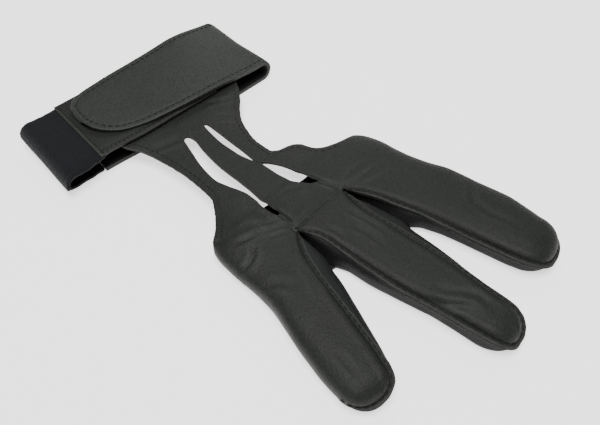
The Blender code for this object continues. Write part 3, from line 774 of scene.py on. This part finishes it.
BACK_START, FLAT_END, MOUTH_TOP, MOUTH_END = 100.0, 16.6, 15.9, 12.2
flat_ys = [BACK_START - (BACK_START - FLAT_END) * i / 92 for i in range(93)]
mouth_ys = [MOUTH_TOP - (MOUTH_TOP - MOUTH_END) * i / 8 for i in range(9)]
pocket_ys = [MOUTH_END - (MOUTH_END - crotch_y) * i / 17 for i in range(1, 18)]
end_ys = [end for ends in SLIT_ENDS.values() for end in ends]
all_ys = sorted(set(flat_ys + mouth_ys + pocket_ys + end_ys), reverse=True)
back_net, back_ys = [], []
for y in all_ys:
    if y > MOUTH_TOP:
        groups = flat_row(y)
    elif y < MOUTH_END:
        groups = folded_row(y)
    else:
        share = ease((MOUTH_TOP - y) / (MOUTH_TOP - MOUTH_END))
        groups = [[a.lerp(b, share) for a, b in zip(f, p)] for f, p in zip(flat_row(y), folded_row(y))]
    back_net.append(joined(groups))
    back_ys.append(y)
group_sizes = [len(group) for group in groups]
for short, broad in zip(fingers["short"], fingers["broad"]):
    last = back_net[len(all_ys) - 1]
    row = outer_top(short, "left", "right", True)
    row += [Vector(p) for p in last[len(row) : len(row) + group_sizes[1] + 4]]
    back_net.append(row + list(reversed(outer_top(broad, "right", "left", True))))
link_a = range(group_sizes[0] - 1, group_sizes[0] + 2)
link_b = range(group_sizes[0] + group_sizes[1] + 1, group_sizes[0] + group_sizes[1] + 4)
columns = len(back_net[0])
print("back panel net:", len(back_net), "rows of", columns)

# %% The slits, the free sides and the finger gaps are cells left out
back_cut = set()
for r in range(len(back_net) - 1):
    if r >= len(all_ys) - 1:
        keep = 1 if r == len(all_ys) - 1 else 0
        back_cut.update((r, c) for c in range(link_a.start + keep, link_b.stop - keep))
        continue
    high, low = back_ys[r], back_ys[r + 1]
    if low >= MOUTH_TOP - 1e-6:
        back_cut.update((r, c) for c in list(range(SIDE)) + list(range(columns - 1 - SIDE, columns - 1)))
    for name, link in (("a", link_a), ("b", link_b)):
        top, bottom = SLIT_ENDS[name]
        if high <= top + 1e-6 and low >= bottom - 1e-6:
            back_cut.update((r, c) for c in link)


def sewn_roll(distance):
    """Beside a seam the leather dips into the stitches and swells just behind them."""
    return -0.75 * bell(distance, 0.75) + 0.22 * bell(distance - 2.6, 1.2)


def back_shape(point, r, c):
    """Droop at the waist's free edges, rolled leather beside the seams and wavy cut edges."""
    y = back_ys[r] if r < len(back_ys) else crotch_y
    if r < len(all_ys) and link_a.stop <= c <= link_b.start:
        point.z += sewn_roll(y - crotch_y) * 0.75
    if r >= len(all_ys) - 1:
        for edge in (link_a.start, link_b.stop):
            beyond = (c - edge) * (1 if edge == link_b.stop else -1)
            if 0 <= beyond <= 8:
                fade_in = min(1.0, (r - len(all_ys) + 4) / 6)
                point.z += sewn_roll((point - back_net[r][edge]).length) * fade_in
    elif y > MOUTH_END:
        left, right = back_sides(y)
        across = (point.x - left) / (right - left)
        free = ease((70.0 - y) / 10.0) * ease((y - MOUTH_END) / 8.0)
        point.z -= (1.5 * abs(2 * across - 1) ** 3 - 0.25) * free
        waver = noise.noise(Vector((point.x * 0.7, y * 0.8, 4.0))) * 0.22
        near = min(point.x - left, right - point.x)
        point.x += waver * bell(near, 0.8) * free
        point.z = min(point.z, panel_top + (0.0 if y > 68 else 0.8))
    return point


back_panel = sheet("back_leather", back_net, (back_leather, suede_and_painted_inner_shade, cut_edge), leather_wall,
                   ["back_panel"], cut=back_cut, shape=back_shape)
print("back panel faces:", len(back_panel.data.polygons))

# %% [markdown]
# ## The top of the middle finger
# The middle finger's top is a piece of its own, sewn to the back between the two crotches and to the side
# strips along both edges. Its leather rolls down into all three seams.

# %% Middle finger
base_half, base_centre = 12.09, Vector((SIZES["middle"]["x"], crotch_y - 0.05))
base_row = section(base_centre, ACROSS, base_half, base_half, finger_height, square_left=BOXY, square_right=BOXY)
middle_net = []
for row in [base_row] + fingers["middle"]:
    middle_net.append(walk(row, seam_angle(row, "left"), seam_angle(row, "right"), 22, True, True))
base_edge = middle_net[0][0].y


def middle_shape(point, r, c):
    """Rolled leather along all three seams."""
    row = middle_net[r]
    for edge in (row[0], row[-1]):
        point.z += sewn_roll((point - edge).length) * min(1.0, (r + 1) / 6)
    point.z += sewn_roll(abs(point.y - base_edge)) * 0.75
    return point


sheet("middle_finger_leather", middle_net, (finger_leather, suede_and_painted_inner_shade, cut_edge), leather_wall,
      ["middle_finger_top"], shape=middle_shape)
print("middle finger net:", len(middle_net), "rows of", len(middle_net[0]))

# %% [markdown]
# ## The strips between the fingers
# A long strip of leather runs up one finger's side, round the crotch and down its neighbour's side, and gives
# the fingers their depth. An empty glove's strips fall in a little, so they are hollowed here, and beside the
# crotch their lower edges meet in a web.


# %% Side strips
strip_wall = 0.9
WEB_END = {"side_strip_short": -19.0, "side_strip_broad": -29.0}


def side_strip(name, left_finger, right_finger, count=10, bends=7):
    """Two legs along the fingers' sides, from their feet to their seams, and a bend round the crotch."""
    legs = []
    for rows, side in ((fingers[left_finger], "right"), (fingers[right_finger], "left")):
        leg = []
        for row in rows[:-1]:
            points = walk(row, foot_angle(row, side), seam_angle(row, side), count)
            way = row["across"] * (1 if side == "right" else -1)
            last = len(points) - 1
            for i, point in enumerate(points):
                hollow = 0.9 * math.sin(math.pi * i / last) * row["shrink"]
                dip = 0.5 * (i / last) ** 4
                points[i] = point - Vector((way.x, way.y, 0)) * hollow - Vector((0, 0, dip))
            leg.append(points)
        legs.append(leg)
    for left_points, right_points in zip(*legs):
        close = ease((left_points[0].y - WEB_END[name] + 5.0) / 8.0)
        meet = (left_points[0] + right_points[0]) / 2
        for points in (left_points, right_points):
            shift = (meet - points[0]) * close * 0.98
            for i in range(len(points)):
                points[i] = points[i] + shift * (1 - i / (len(points) - 1)) ** 1.6
    bend = []
    for i in range(1, bends):
        turned = math.pi * i / bends
        strip = []
        for start, end in zip(legs[0][0], legs[1][0]):
            radius = (end - start).length / 2
            strip.append((start + end) / 2 + Vector((-math.cos(turned) * radius, math.sin(turned) * radius, 0)))
        bend.append(strip)
    net = list(reversed(legs[0])) + bend + legs[1]
    sheet(name + "_leather", net, (side_leather, suede_and_painted_inner_shade, cut_edge), strip_wall,
          [name], amount=0.6)
    print(name, "net:", len(net), "rows of", len(net[0]))


side_strip("side_strip_short", "short", "middle")
side_strip("side_strip_broad", "middle", "broad")

# %% [markdown]
# ## The palm
# Underneath, one flat piece makes the undersides of the three fingers and the short palm that joins them.
# It lies on the table, so it keeps only a little of the leather's bumps. Past each crotch it stays whole for a
# short way, as the floor of the web.

# %% Palm panel
FLOOR, PALM_EDGE, PALM_POCKET = 12, 14.3, 12.0


def floor_span(row, from_foot, to_foot):
    """Under the section, from its left foot or seam to its right one."""
    start = foot_angle(row, "left") if from_foot else 2 * math.pi - seam_angle(row, "left")
    end = (foot_angle(row, "right") if to_foot else -seam_angle(row, "right")) + 2 * math.pi
    return walk(row, start, end, FLOOR)


palm_net = []
palm_ys = [PALM_EDGE - (PALM_EDGE - crotch_y) * i / 17 for i in range(18)]
for y in palm_ys:
    short, middle, broad = pocket(min(y, PALM_POCKET))
    for at in (short, middle, broad):
        at["centre"] = Vector((at["centre"].x, y))
    left, right = floor_span(short, True, False), floor_span(broad, False, True)
    palm_net.append(left + floor_span(middle, False, False) + right)
for trio in zip(*(fingers[name] for name in ("short", "middle", "broad"))):
    palm_net.append([point for row in trio for point in floor_span(row, True, True)])
palm_cut = set()
for r in range(len(palm_ys) - 1, len(palm_net) - 1):
    for web, column in (("side_strip_short", FLOOR + 1), ("side_strip_broad", 2 * (FLOOR + 2) - 1)):
        if palm_net[r][column].y < WEB_END[web]:
            palm_cut.add((r, column))


def palm_shape(point, r, c):
    """The free edge's curve. Nothing goes under the table."""
    point.y += (1.5 * ease(-point.x / 15) - 3.2 * abs(point.x / 40) ** 6) * max(0.0, 1 - r / 6)
    point.z = max(point.z, 0.02)
    return point


sheet("palm_leather", palm_net, (palm_leather, suede_and_painted_inner_shade, cut_edge), leather_wall,
      ["palm_panel"], cut=palm_cut, sign=-1, amount=0.12, shape=palm_shape)
print("palm net:", len(palm_net), "rows of", len(palm_net[0]))

# %% [markdown]
# ## Raised seams
# The fingers are sewn with their cut edges outside, which leaves a narrow double lip along each seam.
# Each lip is one swept profile: two layers of leather with a groove between them.


# %% Seam lips
LIP = ((-0.7, -0.35), (-0.2, 0.02), (0.4, 0.10), (0.95, 0.04), (1.25, -0.14), (1.32, -0.45), (1.18, -0.68),
       (1.02, -0.76), (1.18, -0.85), (1.30, -1.08), (1.20, -1.38), (0.9, -1.52), (0.2, -1.55), (-0.7, -1.40))
RAW, RUBBED = range(4, 10), range(3, 7)


def thin_end(steps):
    """A lip's end has 35 % of its size, and all of it six steps on."""
    return 0.35 + 0.65 * ease(min(steps, 6) / 6)


def lip(name, path, ways, sizes):
    """Sweeps the lip's profile along a seam. Ways point out of the finger and sizes thin the lip out."""
    count = len(LIP)
    bm = bmesh.new()
    worn = bm.verts.layers.float.new("worn")
    home = grid(bm, len(path), count + 1)
    for v, (r, c) in home.items():
        out, up = LIP[c % count]
        wave = 1 + 0.10 * noise.noise(path[r] / 1.7) + 0.12 * noise.noise(path[r] / 5.0)
        size = sizes[r]
        rise = Vector((0, 0, up * (0.35 + 0.65 * size)))
        v.co = world(path[r] + ways[r] * out * size * wave + rise)
        v[worn] = 0.9 if c % count in RUBBED else 0.2
    for face in bm.faces:
        spots = [home[v][1] for v in face.verts]
        face.material_index = 1 if min(spots) in RAW and max(spots) <= RAW.stop else 0
    bmesh.ops.remove_doubles(bm, verts=bm.verts, dist=0.002 * MM)
    bmesh.ops.holes_fill(bm, edges=[e for e in bm.edges if e.is_boundary], sides=count + 2)
    bmesh.ops.recalc_face_normals(bm, faces=bm.faces)
    if bm.calc_volume(signed=True) < 0:
        bmesh.ops.reverse_faces(bm, faces=bm.faces)
    dress(finished(bm, name, (side_leather, cut_edge)), [])


def seam_path(finger):
    """The seam from the crotch along the sewn side, round the tip and back, or to the outer fold's start."""
    rows, seams = fingers[finger], SIZES[finger]["seams"]
    first, fold_rows, spacing = seams[0], 14, 0.45
    other = "left" if first == "right" else "right"
    path = [skin(row, seam_angle(row, first)) for row in rows]
    if other in seams:
        path += [skin(row, seam_angle(row, other)) for row in reversed(rows)]
        sizes = [1.0] * len(path)
    else:
        back = [skin(row, mirrored(other, 0.0)) for row in reversed(rows[-fold_rows:])]
        path += back
        sizes = [1.0] * len(rows) + [ease(1 - i / (len(back) - 1)) for i in range(len(back))]
    thinned, kept = [path[0]], [sizes[0]]
    for point, size in zip(path[1:], sizes[1:]):
        if (point - thinned[-1]).length > spacing:
            thinned.append(point)
            kept.append(size)
    for _ in range(4):
        inner = [(a + b * 2 + c) / 4 for a, b, c in zip(thinned, thinned[1:], thinned[2:])]
        thinned = [thinned[0]] + inner + [thinned[-1]]
    middle = sum(thinned, Vector()) / len(thinned)
    ways, last = [], len(thinned) - 1
    for i in range(last + 1):
        along = thinned[min(i + 1, last)] - thinned[max(i - 1, 0)]
        ways.append(Vector((along.y, -along.x, 0)).normalized())
    turned = sum(way.dot(point - middle) for way, point in zip(ways, thinned))
    ways = [way if turned > 0 else -way for way in ways]
    for _ in range(6):
        beside = [ways[:1] + ways[:-1], ways[1:] + ways[-1:]]
        ways = [(before + way * 2 + after).normalized() for before, way, after in zip(beside[0], ways, beside[1])]
    return thinned, ways, [size * thin_end(i) for i, size in enumerate(kept)]


lips = {}
for finger in SIZES:
    path, ways, sizes = seam_path(finger)
    if finger == "middle":
        sizes = [size * thin_end(len(sizes) - 1 - i) for i, size in enumerate(sizes)]
    lips[finger] = path, ways
    lip(f"seam_lip_{finger}", path, ways, sizes)
    print(f"seam lip of the {finger} finger:", round(reach_of(path)[-1]), "mm")

# %% [markdown]
# ## The wrist strap
# The strap leaves the elastic under the wrist, folds round the right side of the loop and comes back over the top
# as a tab with a rounded end. It is two layers of smooth leather sewn together, so it is thicker than the glove,
# with a slight pillow inside the stitch line and rolled edges outside it.

# %% The strap's path and its edges
strap_width, strap_middle_y, strap_shift, loop_half = 39.0, 90.8, -3.9, 51.25
strap_left, strap_right = strap_shift - loop_half, strap_shift + loop_half
elastic_top, tab_top, turn_top, loop_middle = 9.2, 11.3, 9.7, 5
TAB_END = outline(
    "back low high",
    (60.0, -0.02, 1.00),
    (42.0, 0.00, 1.00),
    (24.0, 0.06, 1.00),
    (11.3, 0.155, 0.975),
    (6.5, 0.235, 0.94),
    (3.4, 0.32, 0.88),
    (1.5, 0.40, 0.82),
    (0.4, 0.49, 0.75),
    (0.0, 0.56, 0.69),
)
tilt, fold_slope = math.tan(math.radians(-1.6)), math.tan(math.radians(5.7))


def half_turn(centre_x, height, side, steps=16):
    """The fold at one end of the loop, a little flattened, from the floor up."""
    radius = height / 2
    turns = [math.pi * i / steps for i in range(steps + 1)]
    return [(centre_x + side * radius * math.sin(t) ** 0.9, radius - radius * math.cos(t)) for t in turns]


def steps_between(x_from, x_to, z_from, z_to, count):
    """A path to the right or left that changes its height smoothly, without its first point."""
    shares = [(i, ease(i / count)) for i in range(1, count + 1)]
    return [(x_from + (x_to - x_from) * i / count, z_from + (z_to - z_from) * rise) for i, rise in shares]


def near_rise(x, z):
    """How far the elastic's near edge is drawn in beside the tab."""
    return 1.6 * bell(x + 33, 10) if elastic_top - 0.5 < z < elastic_top + 0.8 else 0.0


def low_set_back(x, z):
    """How far the loop's lower layer is set back at its left end."""
    return 3.4 * ease((loop_middle - z) / 5) * ease((5 - x) / 45)


def spread(path, edges, columns):
    """Sweeps a path across the strap's width, with its tilt and the lean of its folds."""
    net = []
    for (x, z), (low, high) in zip(path, edges):
        row, width = [], strap_width * (high - low)
        for s in stations(width, columns, True, True):
            across = strap_width * (low - 0.5) + s
            lean = fold_slope * across * (0.2 if across < 0 and x > 30 else 1.0)
            set_back = (1 - s / width) * (low_set_back(x, z) + near_rise(x, z))
            row.append(Vector((x + lean, strap_middle_y + across + tilt * (x - strap_shift) + set_back, z)))
        net.append(row)
    return net


tab_length, join_reach, elastic_reach, round_length = 82.5, 17.5, 73.5, 22
turn_x, tab_end = strap_right - turn_top / 2, strap_right - tab_length
join_x, elastic_end = strap_left + join_reach, strap_left + elastic_reach
strap_path = [(join_x + gap, 0.0)] + steps_between(join_x + gap, turn_x, 0, 0, 40)[:-1]
strap_path += half_turn(turn_x, turn_top, 1)
strap_path += steps_between(turn_x, elastic_end, turn_top, tab_top, 14)
strap_path += steps_between(elastic_end, tab_end + round_length, tab_top, tab_top, 18)
for i in range(1, round_length + 1):
    back = round_length * (1 - math.sin(math.pi / 2 * i / round_length))
    strap_path.append((tab_end + back, tab_top))
edges = []
for x, z in strap_path:
    back = x - tab_end if z > loop_middle else TAB_END[0]["back"]
    edges.append((glide(TAB_END, "back", "low", back), glide(TAB_END, "back", "high", back)))
strap_net = spread(strap_path, edges, 20)
print("tab:", round(strap_right - tab_end, 1), "mm long,", strap_width, "mm wide")


# %% The strap's shape
def strap_shape(point, r, c):
    """Sewn edges roll down, the far edge of the fold stands up and the tab's tip lifts."""
    row, (x, z) = strap_net[r], strap_path[r]
    edge, tip = min((point - row[0]).length, (point - row[-1]).length), x - tab_end
    if r > len(strap_path) - 2 - round_length:
        edge = min(edge, tip * 1.1)
    if z > loop_middle:
        point.z += -0.34 * bell(edge - 2.4, 0.42) - 0.30 * bell(edge, 0.6) + 0.16 * ease(edge / 7)
        across = (point.y - strap_middle_y) / strap_width
        point.z += 2.6 * (bell(point.x - 30, 17) * ease(across + 0.45))
        point.z += 1.5 * ease((10 - tip) / 18) + 0.35 * math.sin(point.x / 9.0 + 1) * ease(tip / 20)
    return point


sheet("strap_leather", strap_net, (strap_leather, suede_and_painted_inner_shade, cut_edge), strap_wall,
      ["leather_strap"], sign=-1, amount=0.35, edge=0.45, shape=strap_shape)
print("strap net:", len(strap_net), "rows of", len(strap_net[0]))

# %% [markdown]
# ## The elastic
# The elastic starts under the wrist, folds round the left side of the loop and is sewn to the leather that
# carries the closure under the tab. Its free edges are a little wavy, because the rubber pulls unevenly.

# %% Elastic band and the sewn-on leather beside it
elastic_turn = strap_left + elastic_top / 2
sewn_x = -36.5
elastic_path = [(join_x, 0.0)] + steps_between(join_x, elastic_turn, 0, 0, 14)[:-1]
elastic_path += half_turn(elastic_turn, elastic_top, -1)
elastic_path += steps_between(elastic_turn, sewn_x, elastic_top, elastic_top, 18)
elastic_net = spread(elastic_path, [(0.0, 1.0)] * len(elastic_path), 34)


def elastic_shape(point, r, c):
    """Edges that pull in and out, a dent along the near stitches and slow waves."""
    row = elastic_net[r]
    low, high = (point - row[0]).length, (point - row[-1]).length
    edge = min(low, high)
    x, z = elastic_path[r]
    pull = noise.noise(Vector((x / 3.2, z, 2.0 if low < high else 7.0)))
    point.y += pull * 0.55 * bell(edge, 3.0) * (1 if low < high else -1)
    if z > loop_middle:
        point.z -= 0.35 * bell(edge, 0.8) + 0.22 * bell(low - 2.6, 0.5)
        point.z += 0.25 * math.sin((x - sewn_x) / 3.4) * ease((sewn_x - x) / 3)
    return point


sheet("elastic_weave", elastic_net, [ribbed_elastic] * 3, elastic_wall,
      ["elastic_band"], amount=0.4, edge=0.3, shape=elastic_shape)
patch_x, patch_top, patch_foot = sewn_x - 1.8, elastic_top + 0.45, elastic_top + 0.2
patch_path = [(patch_x, patch_top)] + steps_between(patch_x, elastic_end, patch_top, patch_foot, 44)
patch_net = spread(patch_path, [(0.0, 1.0)] * len(patch_path), 16)


def patch_shape(point, r, c):
    """The near edge rolls down, with a dent along its stitches."""
    low = (point - patch_net[r][0]).length
    point.z -= 0.45 * bell(low, 0.7)
    point.z -= 0.25 * bell(low - 2.4, 0.5)
    return point


sheet("closure_leather", patch_net, (back_leather, suede_and_painted_inner_shade, cut_edge), elastic_wall,
      ["elastic_band"], amount=0.5, shape=patch_shape)
print("elastic net:", len(elastic_net), "rows of", len(elastic_net[0]))

# %% [markdown]
# ## Stitches
# A lockstitch shows as a row of short thread lengths that dive into the leather at both ends.
# Each one is a small stretched sphere, set on a lip or dropped on the leather under it, and a row is one mesh.


# %% Rows of stitches
ABOVE_ALL = 30 * MM


def surface_of(*names):
    """A search tree over the outer skins of the named pieces."""
    points, faces = [], []
    for name in names:
        mesh = bpy.data.objects[name].data
        start = len(points)
        points += [v.co.copy() for v in mesh.vertices]
        faces += [[start + i for i in polygon.vertices] for polygon in mesh.polygons]
    return BVHTree.FromPolygons(points, faces)


def evenly(path, pitch):
    """Places along a path of points, with their directions. The first is half a pitch in."""
    reach = reach_of(path)
    at, found = pitch / 2, []
    while at < reach[-1]:
        j = min(len(path) - 2, bisect_right(reach, at) - 1)
        way = path[j + 1] - path[j]
        found.append((path[j] + way * ((at - reach[j]) / way.length), way.normalized()))
        at += pitch
    return found


def stitches(name, path, pitch, length, thick, skin_tree=None, slant=0.0):
    """Thread lengths along a path. With a tree they are dropped on the leather below.

    The pitch, the length and the thickness of a stitch are millimetres, and slant turns it on the leather.
    """
    bm = bmesh.new()
    for place, way in evenly(path, pitch):
        up, at = Vector((0, 0, 1)), world(place)
        if skin_tree:
            hit, normal, _, _ = skin_tree.ray_cast(Vector((at.x, at.y, ABOVE_ALL)), Vector((0, 0, -1)))
            if hit is None:
                continue
            at, up = hit, normal if normal.z > 0 else -normal
        along = Matrix.Rotation(slant, 3, up) @ (way - up * way.dot(up)).normalized()
        turn = Matrix((along, up.cross(along), up)).transposed().to_4x4()
        jitter = 1 + dice.uniform(-0.08, 0.08)
        size = Matrix.Diagonal((length / 2 * MM * jitter, thick / 2 * MM, thick / 2 * MM, 1))
        pose = Matrix.Translation(at + up * 0.02 * MM) @ turn @ size
        bmesh.ops.create_uvsphere(bm, u_segments=8, v_segments=6, radius=1.0, matrix=pose)
    dress(finished(bm, name, [thread]), [])


def inside_of(path, distance, side):
    """The path moved sideways on the plan."""
    moved = []
    for i, point in enumerate(path):
        along = path[min(i + 1, len(path) - 1)] - path[max(i - 1, 0)]
        moved.append(point + Vector((-along.y, along.x, 0)).normalized() * distance * side)
    return moved


def from_middle(s):
    """Where a place on the strap's width lies, counted from its middle line."""
    return s - strap_width / 2


back_tree = surface_of("back_leather")
for side, start, count, inset, way in (("left", 71, 115, 2.3, 1), ("right", 69, 110, 2.1, -1)):
    hem = [Vector((glide(BACK, "y", side, y), y, 0)) for y in [start - 0.5 * i for i in range(count)]]
    stitches(f"hem_stitches_{side}", inside_of(hem, inset, way), 2.5, 1.9, 0.42, back_tree)
for finger, (path, ways) in lips.items():
    inner = [point + way * 0.30 + Vector((0, 0, 0.12)) for point, way in zip(path, ways)]
    stitches(f"seam_stitches_{finger}", inner, 2.5, 1.9, 0.45)
base_seam = [Vector((x, crotch_y - 0.2, 0)) for x in range(-14, 8)]
base_tree = surface_of("back_leather", "middle_finger_leather")
stitches("base_seam_stitches", base_seam, 2.3, 1.9, 0.4, base_tree)
tab_rows = 62
tab_net = strap_net[-tab_rows:]
tab_round = [row[0] for row in tab_net] + [row[-1] for row in reversed(tab_net)]
stitches("tab_stitches", inside_of(tab_round, 2.4, -1), 2.6, 2.0, 0.5, surface_of("strap_leather"))
elastic_tree = surface_of("elastic_weave", "closure_leather")
near_edge, column = [], []
for x in [elastic_turn - 2 + i for i in range(40)]:
    near_edge.append(Vector((x, strap_middle_y + from_middle(2.6) + tilt * (x - strap_shift), 0)))
for across in [from_middle(s) for s in range(1, 39)]:
    column.append(Vector((sewn_x - 0.6 + fold_slope * across, strap_middle_y + across, 0)))
stitches("elastic_stitches", near_edge, 1.9, 1.7, 0.5, elastic_tree, math.radians(62))
stitches("join_stitches", column, 1.9, 1.6, 0.5, elastic_tree, math.radians(35))

# %% [markdown]
# ## Table, light and camera
# The photograph is a cut-out on white under soft light from above. So the table is a sheet of lit white acrylic,
# under one big soft light overhead and a small one from the far side. The camera stands on the short finger's
# side, about 17 cm up, and looks 50 degrees down.

# %% Table
acrylic, tree, shader = blank("lit_white_acrylic")
for socket, value in (("Base Color", colour("#f2f2f0")), ("Roughness", 0.9),
                      ("Emission Color", colour("#ffffff")), ("Emission Strength", 1.35)):
    shader.inputs[socket].default_value = value
bm = bmesh.new()
bmesh.ops.create_grid(bm, x_segments=1, y_segments=1, size=2.0)
floor = finished(bm, "table", [acrylic])
floor.location.z = -0.1 * MM
print("table:", floor.dimensions.x, "m wide")


# %% Lights
def softbox(name, place, size, power):
    """A round soft light that points at the glove."""
    light = bpy.data.lights.new(name, "AREA")
    light.shape, light.size, light.energy = "DISK", size, power
    lamp = bpy.data.objects.new(name, light)
    lamp.location = place
    lamp.rotation_euler = (-Vector(place)).to_track_quat("-Z", "Y").to_euler()
    bpy.context.scene.collection.objects.link(lamp)


softbox("overhead", (-0.10, -0.05, 1.0), 0.7, 13)
softbox("far_side", (0.75, 0.60, 0.62), 0.35, 2.4)
sky = bpy.data.worlds.new("studio")
bpy.context.scene.world = sky
sky.use_nodes = True
glow = sky.node_tree.nodes["Background"].inputs
glow["Color"].default_value, glow["Strength"].default_value = (1, 1, 1, 1), 0.3

# %% Camera
# Lens and sensor are equal, so the focal length is as many pixels as the picture is wide.
view = bpy.data.cameras.new("camera")
view.sensor_width, view.lens, view.clip_start = 36.0, 36.0, 0.01
camera = bpy.data.objects.new("camera", view)
forward, up = Vector((0.47733, 0.43050, -0.76604)), Vector((0.56886, 0.51305, 0.64279))
turn = Matrix((forward.cross(up), up, -forward)).transposed().to_4x4()
camera.matrix_world = Matrix.Translation((-0.1061, -0.1051, 0.1691)) @ turn
bpy.context.scene.collection.objects.link(camera)
bpy.context.scene.camera = camera
print("camera at", [round(v, 3) for v in camera.location])
